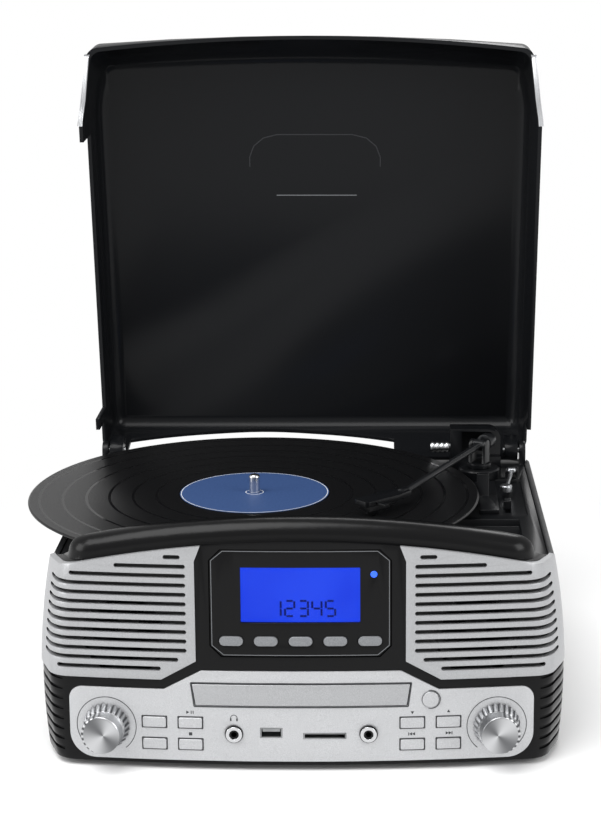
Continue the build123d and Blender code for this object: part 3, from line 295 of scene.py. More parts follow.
def brushed_knob_painted_sheen(node):
    """Aluminium turned on its face, with painted reflection: bright and dark fans from the middle, and a
    darker fluted skirt with painted shade and highlight on its flutes.
    """
    low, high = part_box(node)
    centre = (low + high) / 2
    material, tree, shader, place = new_material(f"turned_{node}", "9C9D9F", metallic=1.0, roughness=0.3)
    moved = add_node(tree, "ShaderNodeVectorMath", {"operation": "SUBTRACT", 1: tuple(centre)},
                     {0: place}).outputs["Vector"]
    parts = add_node(tree, "ShaderNodeSeparateXYZ", links={"Vector": moved}).outputs
    angle = add_node(tree, "ShaderNodeMath", {"operation": "ARCTAN2"},
                     {0: parts["Z"], 1: parts["X"]}).outputs[0]
    # painted reflection: two bright and two dark fans round the middle stand for the light on the turned
    # face
    painted_reflection_fans = wave(tree, angle, math.pi)
    flat = add_node(tree, "ShaderNodeVectorMath", {"operation": "MULTIPLY", 1: (1, 0, 1)}, {0: moved})
    radius = add_node(tree, "ShaderNodeVectorMath", {"operation": "LENGTH"},
                      {0: flat.outputs["Vector"]}).outputs["Value"]
    skirt = add_node(tree, "ShaderNodeMath", {"operation": "GREATER_THAN", 1: 12.2 * MM},
                     {0: radius}).outputs[0]
    ramp = add_node(tree, "ShaderNodeValToRGB", links={"Fac": painted_reflection_fans})
    ramp.color_ramp.elements[0].color = colour("77787A")
    ramp.color_ramp.elements[1].color = colour("D9DADC")
    # painted shade and highlight: a dark and a light stripe for each flute of the skirt
    painted_flute_shade = add_node(tree, "ShaderNodeValToRGB", links={"Fac": wave(tree, angle, 2 * math.pi / FLUTES)})
    painted_flute_shade.color_ramp.elements[0].color = colour("4A4B4D")
    painted_flute_shade.color_ramp.elements[1].color = colour("E0E1E3")
    mix = add_node(tree, "ShaderNodeMix", {"data_type": "RGBA"},
                   {0: skirt, 6: ramp.outputs["Color"], 7: painted_flute_shade.outputs["Color"]})
    tree.links.new(mix.outputs[2], shader.inputs["Base Color"])
    rings = wave(tree, radius, 0.7 * MM)
    bump(tree, shader, rings, 0.06, 0.0001)
    vary(tree, shader.inputs["Roughness"], grain(tree, place, 0.4), 0.26, 0.38)
    return material


def volume_metal():
    return brushed_knob_painted_sheen("volume_knob")


def tuning_metal():
    return brushed_knob_painted_sheen("tuning_knob")


def zinc_steel():
    """Zinc-plated steel: dull grey with faint blooms."""
    material, tree, shader, place = new_material("zinc_steel", "9FA1A3", metallic=1.0, roughness=0.35)
    tint(tree, shader.inputs["Base Color"], grain(tree, place, 0.12), "8F9193", "B1B3B4")
    vary(tree, shader.inputs["Roughness"], grain(tree, place, 0.3), 0.28, 0.44)
    return material


def turned_brass():
    material, tree, shader, place = new_material("turned_brass", "C9A45A", metallic=1.0, roughness=0.25)
    vary(tree, shader.inputs["Roughness"], grain(tree, place, 0.6), 0.2, 0.34)
    return material


def moulded_rubber():
    """Matt black rubber with a dusty grain."""
    material, tree, shader, place = new_material("moulded_rubber", "151515", roughness=0.75,
                                                 Specular_IOR_Level=0.3)
    bump(tree, shader, grain(tree, place, 1.2), 0.2, 0.0002)
    return material


def wool_felt():
    """Dark felt mat: short matted fibres."""
    material, tree, shader, place = new_material("wool_felt", "1D1D1F", roughness=0.95, Sheen_Weight=0.3)
    bump(tree, shader, grain(tree, place, 1.5, 6.0), 0.5, 0.0004)
    return material


def solder_mask():
    """Green lacquered board with a faint weave of tracks."""
    material, tree, shader, place = new_material("solder_mask", "1E5B38", roughness=0.3)
    tint(tree, shader.inputs["Base Color"], grain(tree, place, 0.4), "174A2D", "256B43")
    return material


def smoked_acrylic():
    """Almost black smoked acrylic, polished: soft reflections and a touch of depth."""
    material, tree, shader, place = new_material("smoked_acrylic", "131416", roughness=0.22,
                                                 Specular_IOR_Level=0.15)
    vary(tree, shader.inputs["Roughness"], grain(tree, place, 0.015), 0.18, 0.28)
    bump(tree, shader, grain(tree, place, 0.02, 1.0), 0.05, 0.001)
    return material


def pressed_vinyl():
    """Pressed vinyl: grooves too fine to show, drawn 0.9 mm apart, with smooth bands between tracks."""
    material, tree, shader, place = new_material("pressed_vinyl", "0D0D0E", roughness=0.24,
                                                 Specular_IOR_Level=0.38)
    radius = radius_from(tree, place, SPINDLE)
    groove = wave(tree, radius, 0.9 * MM)
    band = wave(tree, radius, 15.5 * MM)
    sharp = add_node(tree, "ShaderNodeMath", {"operation": "GREATER_THAN", 1: 0.965}, {0: band}).outputs[0]
    vary(tree, shader.inputs["Roughness"], sharp, 0.3, 0.12)
    keep = add_node(tree, "ShaderNodeMath", {"operation": "SUBTRACT", 0: 1.0}, {1: sharp}).outputs[0]
    height = add_node(tree, "ShaderNodeMath", {"operation": "MULTIPLY"}, {0: groove, 1: keep}).outputs[0]
    bump(tree, shader, height, 0.22, 0.0002)
    return material


def label_paper():
    """Printed paper label: matt, slightly fibrous."""
    material, tree, shader, place = new_material("label_paper", props().label, roughness=0.62)
    tint(tree, shader.inputs["Base Color"], grain(tree, place, 0.7), *shades(props().label, 6))
    bump(tree, shader, grain(tree, place, 1.0), 0.08, 0.0001)
    return material


def pale_ink():
    """Pale screen-printed ink."""
    material, tree, shader, place = new_material("pale_ink", "D9DCE0", roughness=0.5)
    tint(tree, shader.inputs["Base Color"], grain(tree, place, 0.8), "CDD0D4", "E2E4E7")
    return material


def dark_ink():
    """Dark grey screen-printed ink on silver paint."""
    material, tree, shader, place = new_material("dark_ink", "2E3033", roughness=0.5)
    tint(tree, shader.inputs["Base Color"], grain(tree, place, 0.8), "28292C", "36383B")
    return material


def lit_display():
    """Backlit display film: an even blue glow, varied a little by a broad noise."""
    material, tree, shader, place = new_material("lit_display", "040A30",
                                                 roughness=0.4, Specular_IOR_Level=0.1)
    shader.inputs["Emission Strength"].default_value = 0.95
    tint(tree, shader.inputs["Emission Color"], grain(tree, place, 0.03, 1.0),
         *shades(props().backlight, 7))
    return material


def display_ink():
    """Dark segments of the display."""
    material, tree, shader, place = new_material("display_ink", "04082C",
                                                 roughness=0.4, Specular_IOR_Level=0.1)
    shader.inputs["Emission Color"].default_value = colour("0A1A8A")
    shader.inputs["Emission Strength"].default_value = 0.5
    vary(tree, shader.inputs["Roughness"], grain(tree, place, 0.5), 0.3, 0.4)
    return material


def clear_window():
    """Clear acrylic window: nearly invisible but for its gloss."""
    material, tree, shader, place = new_material("clear_window", "10131C",
                                                 roughness=0.05, Specular_IOR_Level=0.3)
    shader.inputs["Alpha"].default_value = 0.06
    vary(tree, shader.inputs["Roughness"], grain(tree, place, 0.05), 0.03, 0.08)
    material.surface_render_method = "BLENDED"
    return material


def lamp_blue():
    """Small lit indicator."""
    material, tree, shader, place = new_material("lamp_blue", "20409F", roughness=0.2)
    shader.inputs["Emission Color"].default_value = colour("2B62FF")
    shader.inputs["Emission Strength"].default_value = 1.2
    vary(tree, shader.inputs["Roughness"], grain(tree, place, 0.8), 0.15, 0.25)
    return material


def lid_relief_painted_highlight():
    """Raised line in the cover, painted lighter than the flat: a painted highlight for the little more light
    it catches.
    """
    material, tree, shader, place = new_material("lid_relief_painted_highlight", "2B2C2F",
                                                 roughness=0.3, Specular_IOR_Level=0.3)
    vary(tree, shader.inputs["Roughness"], grain(tree, place, 0.4), 0.26, 0.36)
    return material


def print_and_painted_highlight_line():
    """Thin grey line printed round the display panel; on the raised line inside the cover the same grey is a
    painted highlight.
    """
    material, tree, shader, place = new_material("print_and_painted_highlight_line", "77797C", metallic=0.4, roughness=0.4)
    vary(tree, shader.inputs["Roughness"], grain(tree, place, 0.5), 0.34, 0.46)
    return material


FINISH_OF_NODE = {
    "control_panel": panel_silver, "tonearm": black_lacquer, "counterweight": black_lacquer,
    "volume_knob": volume_metal, "tuning_knob": tuning_metal,
    **{f"source_button_{i}": grey_satin for i in range(1, 6)}}
FINISH_OF_SLOT = {
    "black_plastic": textured_abs, "rubber": moulded_rubber, "screw_steel": zinc_steel,
    "cabinet_black": textured_abs, "fascia_black": gloss_abs, "grille_silver": silver_paint,
    "speaker_black": textured_abs, "panel_silver": silver_paint, "panel_black": gloss_abs,
    "window_clear": clear_window, "display_blue": lit_display, "board_green": solder_mask,
    "socket_steel": zinc_steel, "jack_black": satin_abs, "deck_black": satin_abs,
    "spindle_chrome": plated_chrome, "bright_chrome": plated_chrome, "loader_steel": zinc_steel,
    "belt_rubber": moulded_rubber, "platter_black": textured_abs, "mat_felt": wool_felt,
    "vinyl": pressed_vinyl, "label_blue": label_paper, "brass": turned_brass,
    "arm_silver": turned_aluminium, "arm_black": satin_abs, "tray_black": textured_abs,
    "knob_silver": plated_chrome, "cover_smoke": smoked_acrylic, "trim_silver": silver_paint,
    "button_silver": key_silver,
}
made_finishes = {}


def finish(function):
    """Each finish is made once and shared."""
    if function not in made_finishes:
        made_finishes[function] = function()
    return made_finishes[function]


# Modelling helpers
def deselect():
    bpy.ops.object.select_all(action="DESELECT")


def active(obj):
    deselect()
    obj.select_set(True)
    bpy.context.view_layer.objects.active = obj
    return obj


def edit(obj, *steps):
    """Runs edit-mode steps on a whole piece."""
    active(obj)
    bpy.ops.object.mode_set(mode="EDIT")
    bpy.ops.mesh.select_all(action="SELECT")
    for step in steps:
        step()
    bpy.ops.object.mode_set(mode="OBJECT")
    return obj


def modifier(obj, kind, **settings):
    """Adds a modifier and applies it."""
    active(obj)
    bpy.ops.object.modifier_add(type=kind)
    added = obj.modifiers[-1]
    for key, value in settings.items():
        setattr(added, key, value)
    bpy.ops.object.modifier_apply(modifier=added.name)
    return obj


def settle(obj):
    """Puts a piece's place into its mesh."""
    active(obj)
    bpy.ops.object.transform_apply(location=True, rotation=True, scale=True)
    return obj


def piece(obj, name, body, function):
    """Names a finished piece, gives it its finish and its body."""
    settle(obj)
    obj.name = name
    obj.data.name = name
    obj.data.materials.clear()
    obj.data.materials.append(finish(function))
    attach(obj, body)
    return obj


def join(objects):
    deselect()
    for obj in objects:
        obj.select_set(True)
    bpy.context.view_layer.objects.active = objects[0]
    bpy.ops.object.join()
    return objects[0]


def front_y(x, proud):
    """Where the bowed front stands, proud of the moulding's own form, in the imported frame."""
    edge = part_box("front_fascia")[0].y
    return edge + (x - MIDDLE_X) ** 2 / (2 * FRONT_R) - proud


def bar(x0, x1, y, z0, z1, depth):
    """A thin plate in the front view whose face stands at y."""
    bpy.ops.mesh.primitive_cube_add(size=1, location=((x0 + x1) / 2, y + depth / 2, (z0 + z1) / 2),
                                    scale=(abs(x1 - x0), depth, abs(z1 - z0)))
    return settle(bpy.context.object)


def wedge(x, y, z, size, depth, turn):
    """A thin triangle in the front view; turn 0 points up."""
    bpy.ops.mesh.primitive_cylinder_add(vertices=3, radius=size, depth=depth, location=(x, y, z),
                                        rotation=(math.pi / 2, turn, 0))
    return settle(bpy.context.object)


def ring(x, y, z, outer, inner, depth, axis="Y", steps=96):
    """A flat ring, as a cylinder with its middle cut by inset and bridge."""
    turn = (math.pi / 2, 0, 0) if axis == "Y" else (0, 0, 0)
    bpy.ops.mesh.primitive_cylinder_add(vertices=steps, radius=outer, depth=depth, location=(x, y, z),
                                        rotation=turn)
    made = settle(bpy.context.object)
    bpy.ops.mesh.primitive_cylinder_add(vertices=steps, radius=inner, depth=depth * 3, location=(x, y, z),
                                        rotation=turn)
    tool = settle(bpy.context.object)
    modifier(made, "BOOLEAN", operation="DIFFERENCE", object=tool, solver="EXACT")
    bpy.data.objects.remove(tool)
    return made


def dressed(node, name, function, width):
    """A merged copy of a node with its hard edges rounded, standing for the node."""
    source = frame["nodes"][node]
    copy = source.copy()
    copy.data = source.data.copy()
    copy.parent = None
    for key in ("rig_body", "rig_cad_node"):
        if key in copy:
            del copy[key]
    bpy.context.scene.collection.objects.link(copy)
    edit(copy, lambda: bpy.ops.mesh.remove_doubles(threshold=2e-6),
         lambda: bpy.ops.mesh.dissolve_limited(angle_limit=math.radians(1.0)))
    if width:
        modifier(copy, "BEVEL", width=width, segments=2, limit_method="ANGLE",
                 angle_limit=math.radians(40), harden_normals=False, use_clamp_overlap=True)
    active(copy)
    bpy.ops.object.shade_smooth_by_angle(angle=SMOOTH_ANGLE)
    body = next(b for b, nodes in frame["record"]["behaviour"]["bodies"].items() if node in nodes)
    piece(copy, name, body, function)
    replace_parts(copy, node)
    return copy


def strip(a, b, w, proud):
    """A thin strip between two points of the front view, laid on the bowed front."""
    steps = 12
    direction = Vector((b[0] - a[0], b[1] - a[1])).normalized() * w / 2
    side = Vector((-direction.y, direction.x))
    verts, faces = [], []
    for i in range(steps + 1):
        t = i / steps
        x = MIDDLE_X + a[0] + (b[0] - a[0]) * t
        z = a[1] + (b[1] - a[1]) * t
        y = front_y(x, proud)
        for s in (-1, 1):
            verts.append((x + s * side.x, y - 0.02 * MM, z + s * side.y))
        if i:
            k = 2 * i
            faces.append((k - 2, k - 1, k + 1, k))
    mesh = bpy.data.meshes.new("strip")
    mesh.from_pydata(verts, [], faces)
    obj = bpy.data.objects.new("strip", mesh)
    bpy.context.scene.collection.objects.link(obj)
    modifier(obj, "SOLIDIFY", thickness=0.15 * MM, offset=0)
    return edit(obj, lambda: bpy.ops.mesh.normals_make_consistent(inside=False))


SLOT_OF_NODE = {s["node"]: s["material_slot"] for s in frame["record"]["subparts"]}


def finish_for(node):
    return FINISH_OF_NODE.get(node, FINISH_OF_SLOT[SLOT_OF_NODE[node]])


# Operators, one for each group of pieces
class FinishOperator(bpy.types.Operator):
    """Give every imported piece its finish"""
    bl_idname = "music_centre.finishes"
    bl_label = "Finishes"

    def execute(self, context):
        for name, obj in frame["nodes"].items():
            function = finish_for(name)
            obj.data.materials.clear()
            obj.data.materials.append(finish(function))
        return {"FINISHED"}


class ShellOperator(bpy.types.Operator):
    """Smooth and round the moulded pieces that show most"""
    bl_idname = "music_centre.shells"
    bl_label = "Shells"

    def execute(self, context):
        edge = props().edge
        rounded = {"front_fascia": edge, "grille_left": edge, "grille_right": edge, "control_panel": edge,
                   "display_panel": edge, "cabinet": edge, "dust_cover": edge, "deck_plate": edge,
                   "drawer_front": edge, "tonearm_base": edge, "headshell": edge, "cartridge": edge,
                   "tonearm": 0, "arm_gimbal": edge, "counterweight": edge, "cue_damper": edge / 2,
                   "cue_lever": 0, "speed_switch": 0, "arm_rest": edge, "volume_knob": edge / 2,
                   "tuning_knob": edge / 2, "spindle": 0, "cover_trim": 0, "rear_panel": edge / 2,
                   "audio_jacks": 0, "rear_sockets": 0, "rubber_feet": 0, "platter": 0}
        for node in frame["nodes"]:
            if node.endswith("_key") or node.startswith("source_button") or node == "eject_button":
                rounded[node] = edge
        for node, width in rounded.items():
            dressed(node, f"{node}_skin", finish_for(node), width)
        return {"FINISHED"}


class RecordOperator(bpy.types.Operator):
    """Turn the record and its label"""
    bl_idname = "music_centre.record"
    bl_label = "Record"

    def execute(self, context):
        low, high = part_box("record")
        radius = (high.x - low.x) / 2
        label_low, label_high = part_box("record_label")
        label = (label_high.x - label_low.x) / 2
        hole = 3.65 * MM
        profile = [(hole, low.z), (radius - 1 * MM, low.z), (radius, low.z + 0.7 * MM),
                   (radius, high.z - 0.7 * MM), (radius - 1 * MM, high.z),
                   (radius - 5 * MM, high.z - 0.35 * MM),
                   (label + 6 * MM, high.z - 0.35 * MM), (label + 3 * MM, high.z), (hole, high.z)]
        disc = self.turned(profile, 256)
        piece(disc, "record_disc", "platter", pressed_vinyl)
        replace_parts(disc, "record")
        top = label_high.z
        paper = self.turned([(hole + 0.2 * MM, label_low.z), (label, label_low.z), (label, top - 0.05 * MM),
                             (label - 0.1 * MM, top), (hole + 0.2 * MM, top)], 192)
        piece(paper, "paper_label", "platter", label_paper)
        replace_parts(paper, "record_label")
        for i, inner in enumerate((label - 1.1 * MM, 5.6 * MM)):
            line = self.turned([(inner, top), (inner + 0.5 * MM, top), (inner + 0.5 * MM, top + 0.02 * MM),
                                (inner, top + 0.02 * MM)], 128)
            piece(line, f"label_line_{i + 1}", "platter", pale_ink)
        return {"FINISHED"}

    def turned(self, profile, steps):
        """A closed half section, radius by height, spun round the spindle."""
        mesh = bpy.data.meshes.new("turned")
        count = len(profile)
        mesh.from_pydata([(SPINDLE.x + r, SPINDLE.y, z) for r, z in profile],
                         [(i, (i + 1) % count) for i in range(count)], [])
        obj = bpy.data.objects.new("turned", mesh)
        bpy.context.scene.collection.objects.link(obj)
        edit(obj, lambda: bpy.ops.mesh.spin(steps=steps, angle=2 * math.pi, center=(SPINDLE.x, SPINDLE.y, 0),
                                            axis=(0, 0, 1)),
             lambda: bpy.ops.mesh.select_all(action="SELECT"),
             lambda: bpy.ops.mesh.remove_doubles(threshold=1e-6),
             lambda: bpy.ops.mesh.normals_make_consistent(inside=False))
        active(obj)
        bpy.ops.object.shade_smooth_by_angle(angle=math.radians(25))
        return obj


class DisplayOperator(bpy.types.Operator):
    """Put plain digits on the display and lines round its panel"""
    bl_idname = "music_centre.display"
    bl_label = "Display"

    SEGMENTS = {"0": "abcdef", "1": "bc", "2": "abged", "3": "abgcd", "4": "fgbc", "5": "afgcd",
                "6": "afgedc", "7": "abc", "8": "abcdefg", "9": "abcdfg"}

    def execute(self, context):
        low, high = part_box("lcd_module")
        y = low.y - 0.02 * MM
        digits = props().digits
        height, width, pitch = 9.6 * MM, 5.6 * MM, 8.2 * MM
        start = MIDDLE_X + 1.7 * MM - pitch * (len(digits) - 1) / 2
        middle = low.z + 10.4 * MM
        strokes = []
        for i, digit in enumerate(digits):
            strokes += self.digit(start + i * pitch, middle, y, width, height, self.SEGMENTS[digit])
        made = join(strokes)
        piece(made, "display_digits", "root", display_ink)
        self.frame_lines()
        lamp_low, lamp_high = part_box("display_window")
        lamp_x = lamp_high.x - 2.2 * MM
        bpy.ops.mesh.primitive_uv_sphere_add(segments=32, ring_count=16, radius=2.1 * MM,
                                             location=(lamp_x, lamp_low.y + 1.0 * MM, low.z + 32.4 * MM),
                                             scale=(1, 0.35, 1))
        lamp = settle(bpy.context.object)
        bpy.ops.object.shade_smooth()
        piece(lamp, "standby_lamp", "root", lamp_blue)
        return {"FINISHED"}

    def digit(self, x, z, y, width, height, lit):
        half, rise, stroke = width / 2, height / 2, 1.25 * MM
        gap = 0.25 * MM
        level = {"a": rise, "g": 0, "d": -rise}
        made = []
        for name in lit:
            if name in level:
                at = z + level[name]
                made.append(bar(x - half + stroke / 2 + gap, x + half - stroke / 2 - gap, y, at - stroke / 2,
                                at + stroke / 2, 0.015 * MM))
            else:
                at = x + (half if name in "bc" else -half)
                low = z + (gap if name in "bf" else -rise + gap)
                made.append(bar(at - stroke / 2, at + stroke / 2, y, low, low + rise - 2 * gap, 0.015 * MM))
        return made

    def frame_lines(self):
        """Thin bright line round the display panel and a second one under it."""
        low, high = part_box("display_panel")
        cut, w, proud = PANEL_CUT, 0.4 * MM, -0.55 * MM
        half = (high.x - low.x) / 2 - 1.2 * MM
        points = [(-half + cut, high.z - 1 * MM), (half - cut, high.z - 1 * MM), (half, high.z - cut),
                  (half, low.z + cut), (half - cut, low.z + 1 * MM), (-half + cut, low.z + 1 * MM),
                  (-half, low.z + cut), (-half, high.z - cut)]
        strips = [strip(points[i], points[(i + 1) % 8], w, proud) for i in range(8)]
        under = low.z - 2.6 * MM
        strips.append(strip((-half + 4 * MM, under), (half - 4 * MM, under), w, proud))
        piece(join(strips), "panel_line", "root", print_and_painted_highlight_line)


class GlyphOperator(bpy.types.Operator):
    """Put plain symbols on the keys and printed rings round the knobs"""
    bl_idname = "music_centre.glyphs"
    bl_label = "Glyphs"

    def execute(self, context):
        self.symbol("play_key", [("wedge", -1.8, 90), ("bar", 0.6), ("bar", 1.8)])
        self.symbol("stop_key", [("box", 0)])
        self.symbol("folder_down_key", [("wedge", 0, 180)])
        self.symbol("folder_up_key", [("wedge", 0, 0)])
        self.symbol("previous_key", [("bar", -2.2), ("wedge", -0.7, -90), ("wedge", 1.1, -90)])
        self.symbol("next_key", [("wedge", -1.1, 90), ("wedge", 0.7, 90), ("bar", 2.2)])
        for node in ("volume_knob", "tuning_knob"):
            self.knob_ring(node)
        for node in frame["nodes"]:
            if node.endswith("_key"):
                self.key_frame(node)
        self.drawer_frame()
        self.round_marks()
        self.headphones()
        return {"FINISHED"}

    def symbol(self, node, marks):
        """Symbol printed on the panel above a key."""
        low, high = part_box(node)
        x, z = (low.x + high.x) / 2, high.z + 2.5 * MM
        depth, size = 0.1 * MM, 1.0 * MM
        made = []
        for mark in marks:
            at = x + mark[1] * MM
            place = front_y(at, PANEL_PROUD)
            if mark[0] == "wedge":
                made.append(wedge(at, place, z, size * 1.2, depth, math.radians(mark[2])))
            elif mark[0] == "bar":
                made.append(bar(at - 0.25 * MM, at + 0.25 * MM, place - depth / 2, z - size, z + size,
                                depth))
            else:
                made.append(bar(at - size, at + size, place - depth / 2, z - size, z + size, depth))
        piece(join(made), f"{node}_mark", "root", dark_ink)

    def outline(self, points, w):
        """Closed printed outline on the silver panel, from points of the front view."""
        return [strip(points[i], points[(i + 1) % len(points)], w, PANEL_PROUD) for i in range(len(points))]

    def key_frame(self, node):
        low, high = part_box(node)
        out = KEY_OUTLINE
        x, z = (low.x + high.x) / 2 - MIDDLE_X, (low.z + high.z) / 2
        half, rise = KEY_W / 2 + out, KEY_H / 2 + out
        corners = [(x - half, z - rise), (x + half, z - rise), (x + half, z + rise), (x - half, z + rise)]
        piece(join(self.outline(corners, KEY_OUTLINE)), f"{node}_frame", "root", dark_ink)

    def drawer_frame(self):
        low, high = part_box("drawer_front")
        out, lean = 0.9 * MM, 2.0 * MM
        half = (high.x - low.x) / 2 + out
        corners = [(-half + lean, low.z - out), (half - lean, low.z - out), (half, high.z + out),
                   (-half, high.z + out)]
        piece(join(self.outline(corners, 0.75 * MM)), "drawer_frame", "root", dark_ink)

    def round_marks(self):
        """Bright rings of the two jacks and the thin dark circle round the eject button."""
        low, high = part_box("audio_jacks")
        z = (low.z + high.z) / 2
        for name, x in (("left", low.x + JACK_R), ("right", high.x - JACK_R)):
            y = low.y - 0.25 * MM
            made = ring(x, y, z, 5.0 * MM, 2.9 * MM, 0.7 * MM)
            modifier(made, "BEVEL", width=0.25 * MM, segments=3, limit_method="ANGLE")
            active(made)
            bpy.ops.object.shade_smooth_by_angle(angle=SMOOTH_ANGLE)
            piece(made, f"jack_ring_{name}", "root", plated_chrome)
        low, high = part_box("eject_button")
        x, z = (low.x + high.x) / 2, (low.z + high.z) / 2
        made = ring(x, front_y(x, PANEL_PROUD) - 0.03 * MM, z, 6.1 * MM, 5.6 * MM, 0.08 * MM)
        piece(made, "eject_ring", "root", dark_ink)

    def headphones(self):
        """Plain headphone pictogram above the left jack: a band and two cups."""
        low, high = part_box("audio_jacks")
        x, z = low.x + JACK_R - MIDDLE_X, high.z + 4.6 * MM
        radius = 2.0 * MM
        arc = [(x + radius * math.cos(math.radians(a)), z + radius * math.sin(math.radians(a)))
               for a in range(-20, 201, 20)]
        made = [strip(arc[i], arc[i + 1], 0.35 * MM, PANEL_PROUD) for i in range(len(arc) - 1)]
        for side in (-1, 1):
            cup = x + side * (radius - 0.1 * MM)
            made.append(strip((cup, z - 1.9 * MM), (cup, z - 0.2 * MM), 0.9 * MM, PANEL_PROUD))
        piece(join(made), "headphone_mark", "root", dark_ink)

    def knob_ring(self, node):
        """A printed arc round the knob, open at the bottom."""
        low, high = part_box(node)
        x, z = (low.x + high.x) / 2, (low.z + high.z) / 2
        radius, w = 18.3 * MM, 0.45 * MM
        verts, faces = [], []
        steps = 72
        for i in range(steps + 1):
            angle = math.radians(-50 + 280 * i / steps)
            for r in (radius - w / 2, radius + w / 2):
                px = x + r * math.cos(angle)
                verts.append((px, front_y(px, 0.8 * MM) - 0.06 * MM, z + r * math.sin(angle)))
            if i:
                k = 2 * i
                faces.append((k - 2, k - 1, k + 1, k))
        mesh = bpy.data.meshes.new("arc")
        mesh.from_pydata(verts, [], faces)
        obj = bpy.data.objects.new("arc", mesh)
        bpy.context.scene.collection.objects.link(obj)
        modifier(obj, "SOLIDIFY", thickness=0.06 * MM, offset=0)
        edit(obj, lambda: bpy.ops.mesh.normals_make_consistent(inside=False))
        piece(obj, f"{node}_scale", "root", dark_ink)


class CoverOperator(bpy.types.Operator):
    """Put the raised lines inside the cover, coloured lighter as painted highlight, and bright caps on its
    rim's front corners
    """
    bl_idname = "music_centre.cover"
    bl_label = "Cover"

    def execute(self, context):
        low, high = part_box("hinge_pins")
        self.hinge = (low + high) / 2
        arch = [(-46, 197), (-46, 204), (-43, 212), (-36, 218), (-26, 220.5), (28, 220.5), (38, 218),
                (45, 212), (48, 204), (48, 197)]
        made = [self.line(arch[i], arch[i + 1], 0.7) for i in range(len(arch) - 1)]
        # the arch is coloured lighter than the cover: painted highlight
        piece(join(made), "cover_arch", "dust_cover", lid_relief_painted_highlight)
        # the straight raised line takes the pale grey of the printed line: painted highlight on the moulded
        # ridge
        piece(self.line((-27, 176), (31, 176), 0.6), "cover_line", "dust_cover", print_and_painted_highlight_line)
        self.caps()
        return {"FINISHED"}

    def line(self, a, b, w):
        """Raised strip on the cover's inside; a and b are x and the distance from the hinge, in mm."""
        along = Vector((b[0] - a[0], b[1] - a[1])).normalized()
        side = Vector((-along.y, along.x)) * w / 2
        verts = []
        for high in (INSIDE_MM + 0.3, INSIDE_MM - 0.25):
            for x, s in ((a[0] - side.x, a[1] - side.y), (b[0] - side.x, b[1] - side.y),
                         (b[0] + side.x, b[1] + side.y), (a[0] + side.x, a[1] + side.y)):
                verts.append((MIDDLE_X + x * MM,
                              self.hinge.y + (high * math.sin(COVER_OPEN) - s * math.cos(COVER_OPEN)) * MM,
                              self.hinge.z + (high * math.cos(COVER_OPEN) + s * math.sin(COVER_OPEN)) * MM))
        faces = [(3, 2, 1, 0), (4, 5, 6, 7), (0, 1, 5, 4), (1, 2, 6, 5), (2, 3, 7, 6), (3, 0, 4, 7)]
        mesh = bpy.data.meshes.new("line")
        mesh.from_pydata(verts, [], faces)
        obj = bpy.data.objects.new("line", mesh)
        bpy.context.scene.collection.objects.link(obj)
        return edit(obj, lambda: bpy.ops.mesh.normals_make_consistent(inside=False))

    def caps(self):
        """The trim strips again, side by side over the rim's own thickness."""
        made = []
        for inward in (1.1 * MM, 2.1 * MM):
            source = bpy.data.objects["cover_trim_skin"]
            copy = source.copy()
            copy.data = source.data.copy()
            copy.parent = None
            del copy["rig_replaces"]
            bpy.context.scene.collection.objects.link(copy)
            for vertex in copy.data.vertices:
                vertex.co.x -= math.copysign(inward, vertex.co.x - MIDDLE_X)
                vertex.co.y -= 0.5 * MM
            made.append(copy)
        caps = join(made)
        active(caps)
        bpy.ops.object.shade_smooth_by_angle(angle=SMOOTH_ANGLE)
        piece(caps, "trim_caps", "dust_cover", silver_paint)


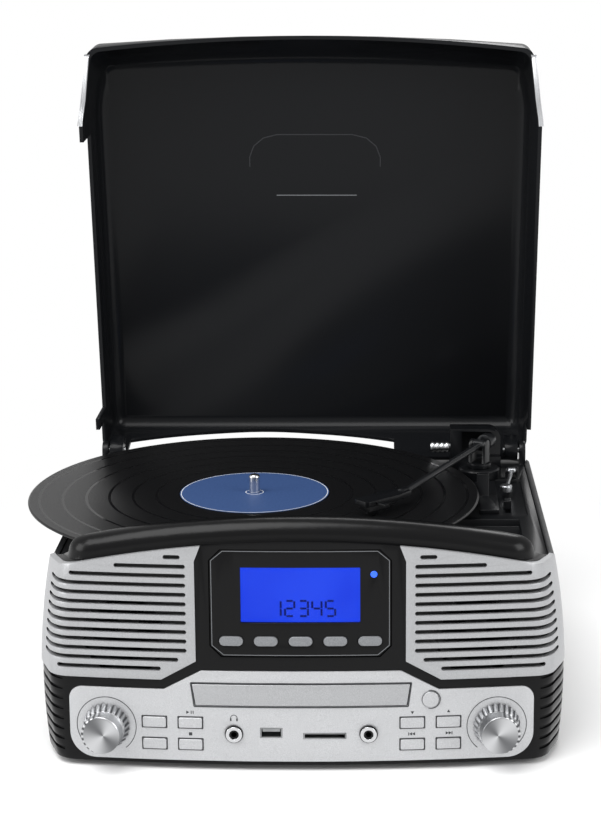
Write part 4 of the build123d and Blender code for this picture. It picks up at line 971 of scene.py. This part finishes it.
class StageOperator(bpy.types.Operator):
    """Make the floor, the lights and the camera"""
    bl_idname = "music_centre.stage"
    bl_label = "Stage"

    def execute(self, context):
        self.floor()
        self.world()
        self.lights()
        self.camera()
        context.scene.view_settings.view_transform = "Standard"
        return {"FINISHED"}

    def floor(self):
        bpy.ops.mesh.primitive_plane_add(size=14, location=(0, 0, 0))
        floor = bpy.context.object
        floor.name = "floor"
        material, tree, shader, place = new_material("paper_sweep", "F4F4F4", roughness=0.9)
        path = add_node(tree, "ShaderNodeLightPath")
        away = add_node(tree, "ShaderNodeMapRange",
                        {"interpolation_type": "SMOOTHSTEP", "From Min": 0.22, "From Max": 0.5},
                        {"Value": radius_from(tree, place, (0, 0))})
        seen = add_node(tree, "ShaderNodeMath", {"operation": "MAXIMUM"},
                        {0: path.outputs["Is Glossy Ray"], 1: path.outputs["Is Transmission Ray"]})
        seen = add_node(tree, "ShaderNodeMath", {"operation": "MAXIMUM"},
                        {0: seen.outputs[0], 1: away.outputs["Result"]})
        glow = add_node(tree, "ShaderNodeEmission", {"Color": (1, 1, 1, 1), "Strength": 1.0})
        mix = add_node(tree, "ShaderNodeMixShader", links={
            "Fac": seen.outputs[0], 1: shader.outputs["BSDF"], 2: glow.outputs["Emission"]})
        tree.links.new(mix.outputs["Shader"], tree.nodes["Material Output"].inputs["Surface"])
        floor.data.materials.append(material)

    def world(self):
        world = bpy.data.worlds.new("studio")
        bpy.context.scene.world = world
        world.use_nodes = True
        tree = world.node_tree
        back = tree.nodes["Background"]
        back.inputs["Color"].default_value = (1, 1, 1, 1)
        path = add_node(tree, "ShaderNodeLightPath")
        vary(tree, back.inputs["Strength"], path.outputs["Is Camera Ray"], 0.55, 1.0)

    def lights(self):
        power = props().light
        for name, place, size, share in (
                ("soft_top", (-0.5, -0.7, 1.6), 1.3, 1.0), ("soft_right", (1.5, -0.9, 0.9), 1.0, 0.55),
                ("soft_left", (-1.6, -0.6, 0.7), 1.0, 0.5), ("soft_back", (0.3, 1.4, 1.5), 1.0, 0.5)):
            bpy.ops.object.light_add(type="AREA", location=place)
            lamp = bpy.context.object
            lamp.name = name
            lamp.data.energy = power * share
            lamp.data.size = size
            aim = Vector((0, 0, 0.15)) - Vector(place)
            lamp.rotation_euler = aim.to_track_quat("-Z", "Y").to_euler()

    def camera(self):
        """The photograph's viewpoint: far off, a little right of the middle, looking down."""
        bpy.ops.object.camera_add(location=(0.06029, -1.46088, 0.5402),
                                  rotation=(math.radians(90 - 13.61), 0, 0))
        camera = bpy.context.object
        image_long, focal_px, aside_px = 819, 2258.9, 80.3
        camera.data.sensor_width = 36
        camera.data.lens = focal_px * 36 / image_long
        camera.data.shift_x = -aside_px / image_long
        bpy.context.scene.camera = camera


class MusicCentrePanel(bpy.types.Panel):
    """Buttons for each group of pieces"""
    bl_idname = "VIEW3D_PT_music_centre"
    bl_label = "Music Centre"
    bl_space_type = "VIEW_3D"
    bl_region_type = "UI"
    bl_category = "Music Centre"

    def draw(self, context):
        for key in MusicCentreProps.__annotations__:
            self.layout.prop(context.scene.music_centre, key)
        for operator in OPERATORS:
            self.layout.operator(operator.bl_idname)


OPERATORS = (StageOperator, FinishOperator, ShellOperator, RecordOperator, DisplayOperator, GlyphOperator,
             CoverOperator)
CLASSES = (MusicCentreProps, *OPERATORS, MusicCentrePanel)


def register():
    for cls in CLASSES:
        bpy.utils.register_class(cls)
    bpy.types.Scene.music_centre = bpy.props.PointerProperty(type=MusicCentreProps)


def unregister():
    del bpy.types.Scene.music_centre
    for cls in reversed(CLASSES):
        bpy.utils.unregister_class(cls)


def main():
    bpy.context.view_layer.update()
    register()
    deselect()
    bpy.ops.music_centre.stage()
    bpy.ops.music_centre.finishes()
    bpy.ops.music_centre.shells()
    bpy.ops.music_centre.record()
    bpy.ops.music_centre.display()
    bpy.ops.music_centre.glyphs()
    bpy.ops.music_centre.cover()


if __name__ == "__main__":
    main()
